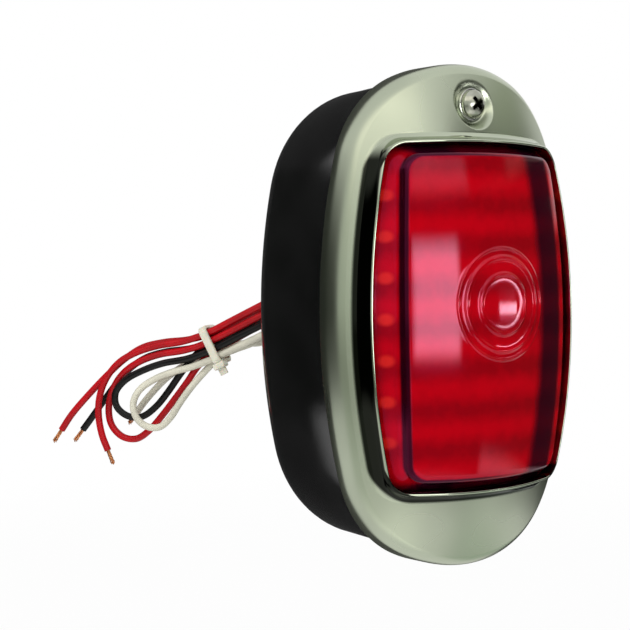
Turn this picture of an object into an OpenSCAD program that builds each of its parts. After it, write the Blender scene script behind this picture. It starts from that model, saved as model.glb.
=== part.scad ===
// Tail lamp of a 1940s pickup truck with a light emitting diode board inside.
// The origin is the middle of the two mounting studs on the rear mounting face.
// The lens looks along -Y, the studs point along +Y and +Z is up.

/* [Bezel] */
// Width of the bezel
bezel_w = 104; // [100:1:108]
// Height of the bezel
bezel_h = 165; // [160:1:172]
// Radius of the bowed sides of the bezel
bezel_side_r = 205; // [190:5:240]
// Radius of the corners of the bezel
bezel_corner_r = 39; // [36:1:42]
// Radius of the two ends of the bezel
bezel_end_r = 58; // [55:1:62]
// Thickness of the bezel sheet
bezel_wall = 0.9; // [0.7:0.1:1.1]
// Height of the dome over the bezel's rear edge at the bezel's widest line
side_rise = 6.8; // [6.4:0.1:8]
// Radius of the dome from side to side
dome_side_r = 76; // [72:1:84]
// Radius of the dome from top to bottom
dome_long_r = 300; // [280:10:360]
// Rounding between the skirt and the dome
bezel_edge_r = 4; // [3:0.5:5]

/* [Collar round the lens] */
// Distance from the collar to the side of the bezel
shoulder_x = 7.7; // [6.5:0.1:9]
// Distance from the collar to the end of the bezel
shoulder_z = 25.5; // [24.5:0.5:26.5]
// Radius of the collar's bowed sides
collar_side_r = 196; // [180:4:230]
// Radius of the collar's corners
collar_corner_r = 9; // [8:0.5:11]
// Height of the collar above the dome
collar_rise = 4.6; // [3.5:0.1:5]

/* [Lens] */
// Distance from the side of the lens face to the collar
lens_step_x = 9.3; // [8:0.1:11]
// Distance from the end of the lens face to the collar
lens_step_z = 4; // [3:0.5:5]
// Height of the lens crown in front of the dome's crown
lens_proud = 5.2; // [4.5:0.1:6]
// Thickness of the lens wall
lens_wall = 2.6; // [2.2:0.1:3]
// Radius of the outer ring of the bull's-eye
ring_outer_r = 18; // [17:0.5:19]
// Radius of the middle ring of the bull's-eye
ring_middle_r = 15; // [14:0.5:16]
// Radius of the inner ring of the bull's-eye
ring_inner_r = 9.6; // [8.5:0.1:10.5]
// Height of the bull's-eye above the middle of the lens
ring_z = 4; // [0:0.5:6]
// Height of the bull's-eye rings above the lens face
ring_rise = 0.5; // [0.3:0.1:0.7]
// Width of the lens flange that is held under the bezel
flange_w = 4.3; // [4:0.1:4.5]
// Thickness of the lens flange
flange_t = 2.2; // [1.8:0.1:2.4]
// Thickness of the lens gasket
gasket_t = 1.2; // [0.9:0.1:1.3]
// Height of the seal on the rim of the housing
seal_h = 1.8; // [1.2:0.1:2]
// Distance of the lens clips from the middle
clip_x = 22; // [18:1:26]

/* [Housing] */
// Depth of the housing behind the bezel's rear edge
housing_depth = 47; // [44:1:52]
// Thickness of the housing sheet
housing_wall = 1; // [0.8:0.1:1.2]
// Narrowing of the housing from front to back
housing_taper = 3; // [2.5:0.5:4.5]
// Rounding of the housing's rear edge
housing_back_r = 12; // [9:1:14]
// Radius of a full round end at the back of the housing less that of its corners
housing_corner_less = 1.7; // [1:0.1:4]
// Gap between the housing and the inside of the bezel's skirt
skirt_gap = 0.7; // [0.6:0.1:0.9]
// Length of the housing covered by the bezel's skirt
skirt_lap = 3; // [2.5:0.5:3.5]

/* [Mounting] */
// Thickness of the rubber mounting pad
pad_t = 3; // [2:0.5:5]
// Distance between the two studs
stud_pitch = 50.8; // [46:0.2:56]
// Diameter of the stud threads
stud_d = 6.35; // [5:0.05:8]
// Length of thread behind the mounting face
stud_l = 19; // [12:1:30]
// Diameter of the stud heads
stud_head_d = 12; // [11:0.5:13]
// Width of the rubber mounting pad
pad_w = 64; // [58:1:66]
// Height of the rubber mounting pad
pad_h = 96; // [90:1:104]

/* [Fixing screw] */
// Distance from the bezel screw to the end of the bezel
screw_in = 13.5; // [12.5:0.5:14.5]
// Diameter of the bezel screw
screw_d = 4.8; // [4:0.1:5.2]
// Diameter of the bezel screw's head
screw_head_d = 9.6; // [9:0.1:10.4]
// Length of the bezel screw behind its head
screw_l = 22; // [21:0.5:24]
// Diameter of the dimple round the bezel screw
dimple_d = 14.8; // [14.4:0.2:15.6]
// Depth of the dimple's floor behind the dome
dimple_deep = 2.05; // [1.8:0.05:2.6]
// Thickness of the washer under the screw head
washer_t = 0.8; // [0.5:0.1:1]

/* [Bezel hinge] */
// Height of the hinge rod above the bezel's lower edge
hinge_up = 9; // [8.5:0.5:10]
// Diameter of the hinge rod
hinge_rod_d = 3; // [2.6:0.1:3.2]
// Length of the hinge rod
hinge_rod_l = 22; // [21:1:24]
// Width of the tongue that carries the hinge rod
tongue_w = 14; // [10:1:14]

/* [Diode board] */
// Distance from the side of the circuit board to the collar
board_side_gap = 10.3; // [9.3:0.5:11.3]
// Distance from the end of the circuit board to the collar
board_end_gap = 7; // [6:0.5:7.5]
// Thickness of the circuit board
board_t = 1.6; // [1:0.2:2]
// Distance from the bezel's rear edge forward to the board's front
board_fwd = 6.5; // [5.5:0.5:7]
// Diodes in a row
led_columns = 5; // [3:2:5]
// Rows of diodes
led_rows = 7; // [3:2:7]
// Distance from the side of the board to the first column of diodes
led_side_in = 10; // [9:0.5:13]
// Distance from the end of the board to the first row of diodes
led_end_in = 11; // [10.5:0.5:14]
// Diameter of one diode
led_d = 5; // [4:0.5:5]
// Height of one diode
led_h = 8.6; // [7:0.1:9]
// Thickness of the board bracket's sheet
bracket_t = 1.2; // [1:0.1:1.6]
// Length of the posts between the board and its bracket
standoff_l = 9.7; // [9:0.1:12]

/* [Wires] */
// Outer diameter of one wire
wire_d = 2.6; // [2:0.1:2.6]
// Length of bare copper at the end of each wire
strip_l = 6; // [4:1:8]
// Height of the wire hole above the middle
grommet_z = 6; // [4:0.5:7]
// Diameter of the wire hole in the housing
grommet_d = 12.2; // [11:0.2:12.6]
// Distance between the wires in the grommet
lead_pitch = 3.8; // [3.4:0.1:4]
// Width of the cable tie
tie_w = 3; // [2:0.5:4]
// Thickness of the cable tie
tie_t = 1.1; // [0.9:0.1:1.4]

/* [Hidden] */

seat_gap = 0.1;
fit_gap = 0.05;
n_end = 4;
n_corner = 7;
n_side = 5;
rim_y = -(pad_t + housing_depth);
bezel_shape = [bezel_w, bezel_h, bezel_side_r, bezel_corner_r, bezel_end_r];
collar_w = bezel_w - 2 * shoulder_x;
collar_h = bezel_h - 2 * shoulder_z;
collar_end_r = 600;
collar_shape = [collar_w, collar_h, collar_side_r, collar_corner_r, collar_end_r];
lens_side_r = 385;
lens_corner_r = 6;
lens_w = collar_w - 2 * lens_step_x;
lens_h = collar_h - 2 * lens_step_z;
lens_shape = [lens_w, lens_h, lens_side_r, lens_corner_r, collar_end_r];
dimple_r = dimple_d / 2;
screw_z = bezel_h / 2 - screw_in;

// How far a cut reaches past what it cuts, beside a piece and through the dome
over = 1;
cut_reach = 30;

// An outline is bowed sides and ends joined by round corners: [width, height, side, corner, end radius]
function corner_centre(o) =
    let (sx = o[0] / 2 - o[2])
    let (tz = o[1] / 2 - o[4])
    let (r0 = o[2] - o[3])
    let (r1 = o[4] - o[3])
    let (d = norm([sx, tz]))
    let (along = [-sx, tz] / d)
    let (k = (r0 * r0 - r1 * r1 + d * d) / (2 * d))
    let (s = sqrt(r0 * r0 - k * k))
    [sx, 0] + along * k + [-along[1], along[0]] * s;

// A quarter of the outline, moved inward by inset, from the top to the widest line
function quarter(o, inset) =
    let (c = corner_centre(o))
    let (sx = o[0] / 2 - o[2])
    let (tz = o[1] / 2 - o[4])
    let (top_a = atan2(c[1] - tz, c[0]))
    let (side_a = atan2(c[1], c[0] - sx))
    concat(
        [for (i = [0 : n_end - 1]) let (a = 90 + (top_a - 90) * i / n_end)
            [(o[4] - inset) * cos(a), tz + (o[4] - inset) * sin(a)]],
        [for (i = [0 : n_corner - 1]) let (a = top_a + (side_a - top_a) * i / n_corner)
            c + (o[3] - inset) * [cos(a), sin(a)]],
        [for (i = [0 : n_side]) let (a = side_a * (1 - i / n_side))
            [sx + (o[2] - inset) * cos(a), (o[2] - inset) * sin(a)]]
    );

// The whole outline, clockwise as seen from the front
function outline(o, inset = 0) =
    let (q = quarter(o, inset))
    let (n = len(q) - 1)
    concat(
        [for (i = [0 : n - 1]) q[i]],
        [for (i = [n : -1 : 1]) [q[i][0], -q[i][1]]],
        [for (i = [0 : n - 1]) [-q[i][0], -q[i][1]]],
        [for (i = [n : -1 : 1]) [-q[i][0], q[i][1]]]
    );

function mix(a, b, s) = [for (i = [0 : len(a) - 1]) a[i] + (b[i] - a[i]) * s];

// Height of the bezel's dome in front of the rear edge of the bezel
dome_crown = side_rise + bezel_w * bezel_w / (8 * dome_side_r);
function dome(p) = dome_crown - p[0] * p[0] / (2 * dome_side_r) - p[1] * p[1] / (2 * dome_long_r);

// Turns a flat outline into a ring of points, at a height in front of the rear edge of the bezel
function flat_ring(points, height) = [for (p = points) [p[0], rim_y - height, p[1]]];
function dome_ring(points, above) = [for (p = points) [p[0], rim_y - dome(p) - above, p[1]]];

// Triangles between neighbouring rings of n points, which run clockwise seen from the front
function bands(n, first, last) = [for (k = [first : last]) for (i = [0 : n - 1]) for (t = [0, 1])
    let (j = (i + 1) % n)
    t == 0 ? [k * n + i, k * n + j, (k + 1) * n + j] : [k * n + i, (k + 1) * n + j, (k + 1) * n + i]];

// A tube-like shell: the last ring joins the first
module closed_shell(rings) {
    n = len(rings[0]);
    m = len(rings);
    last = [for (i = [0 : n - 1]) for (t = [0, 1])
        let (j = (i + 1) % n)
        t == 0 ? [(m - 1) * n + i, (m - 1) * n + j, j] : [(m - 1) * n + i, j, i]];
    polyhedron([for (r = rings) for (p = r) p], concat(bands(n, 0, m - 2), last));
}

// A cup-like shell: the first and the last ring are closed by flat faces
module capped_shell(rings) {
    n = len(rings[0]);
    m = len(rings);
    back = [[for (i = [n - 1 : -1 : 0]) i]];
    inner = [[for (i = [0 : n - 1]) (m - 1) * n + i]];
    polyhedron([for (r = rings) for (p = r) p], concat(back, bands(n, 0, m - 2), inner));
}

// A rod along Y
module rod(r, y0, y1, x = 0, z = 0) {
    translate([x, y1, z]) rotate([90, 0, 0]) cylinder(r = r, h = y1 - y0, $fn = 48);
}

screw_gap = 0.5;
screw_hole_r = screw_d / 2 + screw_gap;
housing_inset = bezel_wall + skirt_gap;
lip_w = 4;
dimple_floor = dome([0, screw_z]) - dimple_deep;

module bezel() {
    round_a = [0, 15, 30, 50, 70, 90];
    slope = [0.15, 0.35, 0.6, 0.82, 1];
    in_r = bezel_edge_r - bezel_wall;
    edge = [for (a = round_a) let (o = outline(bezel_shape, bezel_edge_r * (1 - cos(a))))
        dome_ring(o, -bezel_edge_r * (1 - sin(a)))];
    inner_edge = [for (a = round_a) let (o = outline(bezel_shape, bezel_wall + in_r * (1 - cos(a))))
        dome_ring(o, -bezel_wall - in_r * (1 - sin(a)))];
    base = outline(bezel_shape, bezel_edge_r);
    foot_flare = 0.8;
    lean = 0.15;
    bead = 0.2;
    foot = outline(collar_shape, -foot_flare);
    lip = outline(collar_shape, bezel_wall);
    rings = concat(
        [flat_ring(outline(bezel_shape), 0)],
        edge,
        [for (s = slope) dome_ring(mix(base, foot, s), 0)],
        [dome_ring(outline(collar_shape, -lean), collar_rise - 3 * bead)],
        [dome_ring(outline(collar_shape, bead), collar_rise)],
        [dome_ring(outline(collar_shape, bezel_wall - bead), collar_rise)],
        [dome_ring(lip, collar_rise - 2 * bead)],
        [dome_ring(lip, -bezel_wall)],
        [for (i = [len(slope) - 2 : -1 : 0]) dome_ring(mix(base, lip, slope[i]), -bezel_wall)],
        [for (i = [len(round_a) - 1 : -1 : 0]) inner_edge[i]],
        [flat_ring(outline(bezel_shape, bezel_wall), 0)]
    );
    cup_floor = rim_y - dimple_floor;
    cup_top = cup_floor - dimple_r;
    color("silver") {
        difference() {
            closed_shell(rings);
            rod(dimple_r - bezel_wall / 2, rim_y - cut_reach, rim_y, 0, screw_z);
        }
        difference() {
            rod(dimple_r, cup_top, cup_floor + bezel_wall, 0, screw_z);
            rod(dimple_r - bezel_wall, rim_y - cut_reach, cup_floor, 0, screw_z);
            rod(screw_hole_r, rim_y - cut_reach, rim_y, 0, screw_z);
            translate([0, rim_y - dome([0, screw_z]), screw_z]) rotate([atan(screw_z / dome_long_r), 0, 0])
                translate([-dimple_d, -cut_reach, -dimple_d])
                    cube([2 * dimple_d, cut_reach, 2 * dimple_d]);
        }
    }
}

back_inset = housing_inset + housing_taper;
back_w = bezel_w - 2 * back_inset;
back_h = bezel_h - 2 * back_inset;

// A full round end is one arc that touches the end's middle and both bowed sides
round_end_r = (back_w * (bezel_side_r - back_w / 4) - back_h * back_h / 4) / (2 * bezel_side_r - back_h);
housing_corner_r = round_end_r - housing_corner_less;
back_shape = [back_w, back_h, bezel_side_r, housing_corner_r, bezel_end_r];
lip_step = 0.2;
lip_under = housing_inset + housing_wall + lip_step;

// The inside of the housing's wall at a depth behind the bezel's rear edge, less a gap
function wall_outline(depth, gap) =
    let (wall_start = housing_wall - skirt_lap)
    let (wall_end = housing_depth - housing_back_r)
    let (s = (depth - wall_start) / (wall_end - wall_start))
    mix(outline(bezel_shape, lip_under + gap), outline(back_shape, housing_wall + gap), s);

module housing() {
    back_a = [90, 75, 60, 45, 30, 15, 0];
    in_r = housing_back_r - housing_wall;
    outer_back = [for (a = back_a) flat_ring(outline(back_shape, housing_back_r * (1 - cos(a))),
        -(housing_depth - housing_back_r * (1 - sin(a))))];
    inner_back = [for (a = back_a) flat_ring(outline(back_shape, housing_wall + in_r * (1 - cos(a))),
        -(housing_depth - housing_wall - in_r * (1 - sin(a))))];
    lip = outline(bezel_shape, housing_inset + lip_w);
    under_lip = outline(bezel_shape, lip_under);
    rings = concat(
        outer_back,
        [flat_ring(outline(bezel_shape, housing_inset + lip_step), skirt_lap - housing_wall + lip_step)],
        [flat_ring(outline(bezel_shape, housing_inset + housing_wall), skirt_lap)],
        [flat_ring(lip, skirt_lap)],
        [flat_ring(lip, skirt_lap - housing_wall)],
        [flat_ring(under_lip, skirt_lap - housing_wall)],
        [for (i = [len(back_a) - 1 : -1 : 0]) inner_back[i]]
    );
    color("black") difference() {
        capped_shell(rings);
        for (side = [-1, 1]) rod(stud_hole_r, -housing_depth / 2, 0, 0, side * stud_pitch / 2);
        rod(grommet_d / 2, -housing_depth / 2, 0, 0, grommet_z);
    }
}

// The front of the flange lies behind the bezel's sheet and the gasket
flange_front = -bezel_wall - gasket_t;
flange_back = flange_front - flange_t;
lens_gap = 0.4;
lens_base_inset = bezel_wall + lens_gap;

module lens() {
    c = [0, ring_z];
    face = outline(lens_shape);
    round_r = 1.5;
    face_edge = outline(lens_shape, round_r);
    inner_edge = outline(lens_shape, lens_wall);
    ring_w = 0.5;
    function circle(r) = [for (p = face) c + (p - c) * r / norm(p - c)];
    function circle_ring(r, above) = dome_ring(circle(r), above);
    function toward(s) = mix(circle(ring_outer_r + 2 * ring_w), face_edge, s);
    rings = concat(
        [circle_ring(ring_outer_r, lens_proud - lens_wall)],
        [dome_ring(mix(toward(0), inner_edge, 0.5), lens_proud - lens_wall)],
        [dome_ring(outline(lens_shape, lens_wall + round_r), lens_proud - lens_wall)],
        [dome_ring(inner_edge, lens_proud - lens_wall - round_r)],
        [dome_ring(outline(collar_shape, lens_base_inset + lens_wall), flange_front)],
        [dome_ring(outline(collar_shape, lens_base_inset + lens_wall), flange_back)],
        [dome_ring(outline(collar_shape, lens_base_inset - flange_w), flange_back)],
        [dome_ring(outline(collar_shape, lens_base_inset - flange_w), flange_front)],
        [dome_ring(outline(collar_shape, lens_base_inset), flange_front)],
        [dome_ring(outline(collar_shape, lens_base_inset), 0)],
        [dome_ring(face, lens_proud - round_r)],
        [dome_ring(outline(lens_shape, round_r * (1 - cos(45))), lens_proud - round_r * (1 - sin(45)))],
        [for (s = [1, 0.75, 0.5, 0.25]) dome_ring(toward(s), lens_proud)],
        [for (r = [ring_outer_r, ring_middle_r, ring_inner_r]) for (t = [1, 0, -1])
            circle_ring(r + t * ring_w, t == 0 ? lens_proud + ring_rise : lens_proud)],
        [circle_ring(ring_inner_r / 2, lens_proud)]
    );
    n = len(face);
    m = len(rings);
    points = concat([for (r = rings) for (p = r) p],
        [[0, rim_y - dome(c) - lens_proud + lens_wall, ring_z], [0, rim_y - dome(c) - lens_proud, ring_z]]);
    inner_fan = [for (i = [0 : n - 1]) [m * n, (i + 1) % n, i]];
    outer_fan = [for (i = [0 : n - 1]) [(m - 1) * n + i, (m - 1) * n + (i + 1) % n, m * n + 1]];
    color("red") polyhedron(points, concat(inner_fan, bands(n, 0, m - 2), outer_fan));
}

module lens_gasket() {
    edge_in = 0.3;
    wall_gap = 0.5;
    outer = outline(collar_shape, lens_base_inset - flange_w + edge_in);
    inner = outline(collar_shape, lens_base_inset - wall_gap);
    front = -bezel_wall - seat_gap;
    back = flange_front + seat_gap;
    color("dimgray") closed_shell([
        dome_ring(outer, back),
        dome_ring(outer, front),
        dome_ring(inner, front),
        dome_ring(inner, back)
    ]);
}

module rim_seal() {
    edge_in = 0.6;
    outer = outline(bezel_shape, housing_inset + housing_wall);
    inner = outline(bezel_shape, housing_inset + lip_w - edge_in);
    color("dimgray") closed_shell([
        flat_ring(outer, skirt_lap),
        flat_ring(outer, skirt_lap + seal_h),
        flat_ring(inner, skirt_lap + seal_h),
        flat_ring(inner, skirt_lap)
    ]);
}

// A six-sided block whose front and back follow the dome
module dome_block(x0, x1, z0, z1, back, front) {
    corners = [[x0, z0], [x1, z0], [x1, z1], [x0, z1]];
    points = concat(dome_ring(corners, front), dome_ring(corners, back));
    polyhedron(points, [
        [3, 2, 1], [3, 1, 0], [4, 5, 6], [4, 6, 7],
        [0, 1, 5], [0, 5, 4], [1, 2, 6], [1, 6, 5],
        [2, 3, 7], [2, 7, 6], [3, 0, 4], [3, 4, 7]
    ]);
}

module lens_clips() {
    clip_w = 8;
    clip_t = 1.2;
    foot_l = 5.5;
    finger_l = 4;
    edge_gap = 0.4;
    lap = 1;
    finger = flange_back - seat_gap;
    flange_edge = collar_h / 2 - lens_base_inset + flange_w + edge_gap;
    color("lightgray") for (side = [-1, 1]) for (up = [-1, 1]) {
        x0 = side * clip_x - clip_w / 2;
        x1 = x0 + clip_w;
        foot = -bezel_wall - 2 * seat_gap;
        mirror([0, 0, up < 0 ? 1 : 0]) union() {
            dome_block(x0, x1, flange_edge, flange_edge + foot_l, finger - clip_t, foot);
            dome_block(x0, x1, flange_edge - finger_l, flange_edge + lap, finger - clip_t, finger);
        }
    }
}

// The washer, the screw head and the screw's end, as heights in front of the bezel's rear edge
washer_back = dimple_floor + fit_gap;
head_back = washer_back + washer_t + fit_gap;
head_h = 3.2;
screw_end = head_back - screw_l;

module bezel_screw() {
    head_r = screw_head_d / 2;
    edge_h = 1.1;
    crown_r = (head_r * head_r + (head_h - edge_h) * (head_h - edge_h)) / (2 * (head_h - edge_h));
    cross_w = 1.2;
    cross_l = 5.2;
    cross_deep = 1.9;
    tip = 0.8;
    color("gainsboro") difference() {
        union() {
            rod(screw_d / 2, rim_y - head_back - fit_gap, rim_y - screw_end - tip, 0, screw_z);
            translate([0, rim_y - screw_end, screw_z]) rotate([90, 0, 0])
                cylinder(r1 = screw_d / 2 - tip, r2 = screw_d / 2, h = tip, $fn = 48);
            intersection() {
                rod(head_r, rim_y - head_back - head_h, rim_y - head_back, 0, screw_z);
                translate([0, rim_y - head_back - head_h + crown_r, screw_z]) sphere(r = crown_r, $fn = 96);
            }
        }
        for (turn = [0, 90]) translate([0, rim_y - head_back - head_h, screw_z]) rotate([0, turn, 0])
            translate([-cross_l / 2, -over, -cross_w / 2]) cube([cross_l, cross_deep + over, cross_w]);
    }
}

module screw_washer() {
    rim_out = 0.4;
    washer_r = screw_head_d / 2 + rim_out;
    color("gainsboro") difference() {
        rod(washer_r, rim_y - washer_back - washer_t, rim_y - washer_back, 0, screw_z);
        rod(screw_d / 2 + fit_gap, rim_y - cut_reach, rim_y, 0, screw_z);
    }
}

// A flat slab from y0 to y1 with the given outline
module slab(points, y0, y1) {
    translate([0, y1, 0]) rotate([90, 0, 0]) linear_extrude(height = y1 - y0) polygon(points);
}

module screw_bracket() {
    plate_w = 18;
    plate_down = 9;
    plate_low = screw_z - plate_down;
    color("dimgray") difference() {
        intersection() {
            slab(wall_outline(bracket_t, seat_gap), rim_y, rim_y + bracket_t);
            translate([-plate_w / 2, rim_y, plate_low]) cube([plate_w, bracket_t, bezel_h]);
        }
        rod(screw_hole_r, rim_y - over, rim_y + bracket_t + over, 0, screw_z);
    }
}

module screw_nut() {
    nut_w = 8.4;
    nut_t = 3.2;
    front_y = rim_y + bracket_t;
    color("silver") difference() {
        translate([-nut_w / 2, front_y, screw_z - nut_w / 2]) cube([nut_w, nut_t, nut_w]);
        rod(screw_hole_r, front_y - over, front_y + nut_t + over, 0, screw_z);
    }
}

hinge_z = -(bezel_h / 2 - hinge_up);
hinge_back = 0.5;
hinge_y = rim_y + hinge_back;

module bezel_tongue() {
    tongue_t = 1.2;
    front_y = rim_y - dome([tongue_w / 2, hinge_z - tongue_t]) + bezel_wall + seat_gap;
    color("silver") union() {
        translate([-tongue_w / 2, front_y, hinge_z - tongue_t / 2])
            cube([tongue_w, hinge_y - front_y, tongue_t]);
        translate([-hinge_rod_l / 2, hinge_y, hinge_z]) rotate([0, 90, 0])
            cylinder(d = hinge_rod_d, h = hinge_rod_l, $fn = 48);
    }
}

module hinge_bracket() {
    ear_gap = 1;
    ear_x = tongue_w / 2 + ear_gap;
    ear_t = 2;
    ear_fwd = 2.5;
    ear_aft = 3;
    ear_up = 0.7;
    base_aft = 6;
    rod_rise = 1.4;
    ear_front = hinge_y - ear_fwd;
    ear_back = hinge_y + ear_aft;
    base_back = hinge_y + base_aft;
    base_w = 2 * (ear_x + ear_t);
    floor_z = hinge_z - hinge_rod_d / 2 - rod_rise;
    top_z = hinge_z + ear_up;
    rod_r = hinge_rod_d / 2 + fit_gap;
    color("dimgray") difference() {
        union() {
            intersection() {
                slab(wall_outline(base_back - rim_y, seat_gap), ear_front, base_back);
                translate([-base_w / 2, ear_front, -bezel_h])
                    cube([base_w, base_back - ear_front, bezel_h + floor_z]);
            }
            for (x = [-ear_x - ear_t, ear_x]) translate([x, ear_front, floor_z - over])
                cube([ear_t, ear_back - ear_front, top_z - floor_z + over]);
        }
        translate([-base_w, hinge_y, hinge_z]) rotate([0, 90, 0])
            cylinder(r = rod_r, h = 2 * base_w, $fn = 48);
        translate([-base_w, hinge_y - rod_r, hinge_z]) cube([2 * base_w, 2 * rod_r, hinge_rod_d]);
    }
}

board_w = collar_w - 2 * board_side_gap;
board_h = collar_h - 2 * board_end_gap;
board_y = rim_y - board_fwd;
board_back_y = board_y + board_t;
post_r = 2.75;
post_side_in = 16;
post_end_in = 4.5;
post_x = board_w / 2 - post_side_in;
post_z = board_h / 2 - post_end_in;
board_screw_r = 1.45;

// A plate from y0 to y1 with round corners
module rounded_plate(w, h, r, y0, y1) {
    translate([-w / 2, y0, -h / 2 + r]) cube([w, y1 - y0, h - 2 * r]);
    translate([-w / 2 + r, y0, -h / 2]) cube([w - 2 * r, y1 - y0, h]);
    for (x = [-1, 1]) for (z = [-1, 1]) rod(r, y0, y1, x * (w / 2 - r), z * (h / 2 - r));
}

// What it holds is drawn at the four posts of the board
module at_posts() {
    for (x = [-1, 1]) for (z = [-1, 1]) translate([x * post_x, 0, z * post_z]) children();
}

module circuit_board() {
    corner_r = 6;
    color("darkgreen") difference() {
        rounded_plate(board_w, board_h, corner_r, board_y, board_back_y);
        at_posts() rod(board_screw_r + fit_gap, board_y - over, board_back_y + over);
    }
}

module leds() {
    r = led_d / 2;
    rim_h = 1;
    rim_out = 0.4;
    last_x = board_w / 2 - led_side_in;
    last_z = board_h / 2 - led_end_in;
    color("mistyrose") for (i = [0 : led_columns - 1]) for (j = [0 : led_rows - 1]) {
        x = last_x * (2 * i / (led_columns - 1) - 1);
        z = last_z * (2 * j / (led_rows - 1) - 1);
        union() {
            rod(r + rim_out, board_y - rim_h, board_y, x, z);
            rod(r, board_y - led_h + r, board_y, x, z);
            translate([x, board_y - led_h + r, z]) sphere(r = r, $fn = 32);
        }
    }
}

// A part with a lead at each end, lying along Z behind the board
module lead_part(r, l, x, z) {
    lead_r = 0.3;
    lead_out = 1.5;
    off_board = 0.2;
    reach = l / 2 + lead_out;
    y = board_back_y + r + off_board;
    translate([x, y, z - l / 2]) cylinder(r = r, h = l, $fn = 32);
    translate([x, y, z - reach]) cylinder(r = lead_r, h = 2 * reach, $fn = 16);
    for (s = [-1, 1]) rod(lead_r, board_back_y, y, x, z + s * reach);
}

component_in = 5;
component_x = board_w / 2 - component_in;
component_step = 13;

module resistors() {
    body_r = 1.2;
    body_l = 6.5;
    color("lightblue") for (x = [-1, 1]) for (z = [-1, 0, 1]) union()
        lead_part(body_r, body_l, x * component_x, 2 * z * component_step);
}

module rectifier_diodes() {
    body_r = 1.3;
    body_l = 5;
    color("black") for (x = [-1, 1]) union() lead_part(body_r, body_l, x * component_x, component_step);
}

module capacitor() {
    can_r = 4;
    can_l = 9;
    side_in = 7;
    end_in = 9;
    color("navy")
        rod(can_r, board_back_y, board_back_y + can_l, board_w / 2 - side_in, end_in - board_h / 2);
}

module board_screws() {
    head_r = 2.75;
    head_t = 2;
    thread_in = 6;
    shank_l = board_t + thread_in;
    color("gainsboro") at_posts() union() {
        rod(head_r, board_y - head_t, board_y);
        rod(board_screw_r, board_y - fit_gap, board_y + shank_l);
    }
}

bracket_y = board_back_y + standoff_l;

module board_standoffs() {
    color("gold") at_posts() difference() {
        rod(post_r, board_back_y, bracket_y);
        rod(board_screw_r + fit_gap, board_back_y - over, bracket_y + over);
    }
}

housing_floor_y = -pad_t - housing_wall;

module board_bracket() {
    side_out = 4;
    end_out = 3.5;
    corner_r = 4;
    leg_w = 24;
    leg_up = 8.6;
    leg_z = stud_pitch / 2 + leg_up;
    foot_l = 2 * leg_up;
    foot_y = housing_floor_y - bracket_t;
    lead_room = 4;
    plate_w = 2 * (post_x + side_out);
    plate_h = 2 * (post_z + end_out);
    color("gainsboro") difference() {
        union() {
            rounded_plate(plate_w, plate_h, corner_r, bracket_y, bracket_y + bracket_t);
            for (up = [-1, 1]) mirror([0, 0, up < 0 ? 1 : 0]) {
                translate([-leg_w / 2, bracket_y, leg_z])
                    cube([leg_w, housing_floor_y - bracket_y, bracket_t]);
                translate([-leg_w / 2, foot_y, leg_z + bracket_t - foot_l])
                    cube([leg_w, bracket_t, foot_l]);
            }
        }
        rod(lead_pitch + lead_room, bracket_y - over, bracket_y + bracket_t + over, 0, grommet_z);
        for (side = [-1, 1]) rod(stud_hole_r, foot_y - over, 0, 0, side * stud_pitch / 2);
    }
}

neck_out = 0.325;
stud_neck_r = stud_d / 2 + neck_out;
stud_hole_r = stud_neck_r + seat_gap;

module mount_studs() {
    head_t = 3;
    tip = 1;
    head_y = housing_floor_y - bracket_t;
    color("silver") for (side = [-1, 1]) translate([0, 0, side * stud_pitch / 2]) union() {
        rod(stud_head_d / 2, head_y - head_t, head_y);
        rod(stud_neck_r, head_y - fit_gap, 0);
        rod(stud_d / 2, -fit_gap, stud_l - tip);
        translate([0, stud_l, 0]) rotate([90, 0, 0])
            cylinder(r1 = stud_d / 2 - tip, r2 = stud_d / 2, h = tip, $fn = 48);
    }
}

grommet_flange_w = 2.4;
grommet_flange_r = grommet_d / 2 + grommet_flange_w;
grommet_flange_t = 2.5;

module mount_pad() {
    end_r = pad_w / 2;
    grommet_gap = 0.7;
    color("dimgray") difference() {
        union() {
            translate([-end_r, -pad_t, end_r - pad_h / 2]) cube([pad_w, pad_t, pad_h - pad_w]);
            for (side = [-1, 1]) rod(end_r, -pad_t, 0, 0, side * (pad_h / 2 - end_r));
        }
        for (side = [-1, 1]) rod(stud_hole_r + seat_gap, -pad_t - over, over, 0, side * stud_pitch / 2);
        rod(grommet_flange_r + grommet_gap, -pad_t - over, over, 0, grommet_z);
    }
}

// What it holds is drawn at the four wires where they pass the grommet
module at_leads() {
    for (x = [-1, 1]) for (z = [-1, 1])
        translate([x * lead_pitch / 2, 0, grommet_z + z * lead_pitch / 2]) children();
}

exit_y = -pad_t + grommet_flange_t;

module wire_grommet() {
    inner_y = housing_floor_y - grommet_flange_t;
    color("dimgray") difference() {
        union() {
            rod(grommet_flange_r, inner_y, housing_floor_y, 0, grommet_z);
            rod(grommet_d / 2 - seat_gap, inner_y, exit_y, 0, grommet_z);
            rod(grommet_flange_r, -pad_t, exit_y, 0, grommet_z);
        }
        at_leads() rod(wire_d / 2 + seat_gap, inner_y - over, exit_y + over);
    }
}

module inner_leads() {
    color("firebrick") at_leads() rod(wire_d / 2, board_back_y, exit_y);
}

// A place on the bundle of wires: s behind the mounting face along the bundle, w across it, z up
run_turn = 35;
run_start = 8;
run_fall = 26.5;
function on_run(p) =
    let (s = p[0] - run_start)
    [-s * sin(run_turn) + p[1] * cos(run_turn), run_start + s * cos(run_turn) + p[1] * sin(run_turn), p[2]];

// The wires lie in rows and columns inside the cable tie
tie_c = [56.3, 0, -12];
strand_pitch = 3.2;
function slot(row, column) =
    tie_c + strand_pitch * [row * sin(run_fall), column, row * cos(run_fall)];

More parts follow.
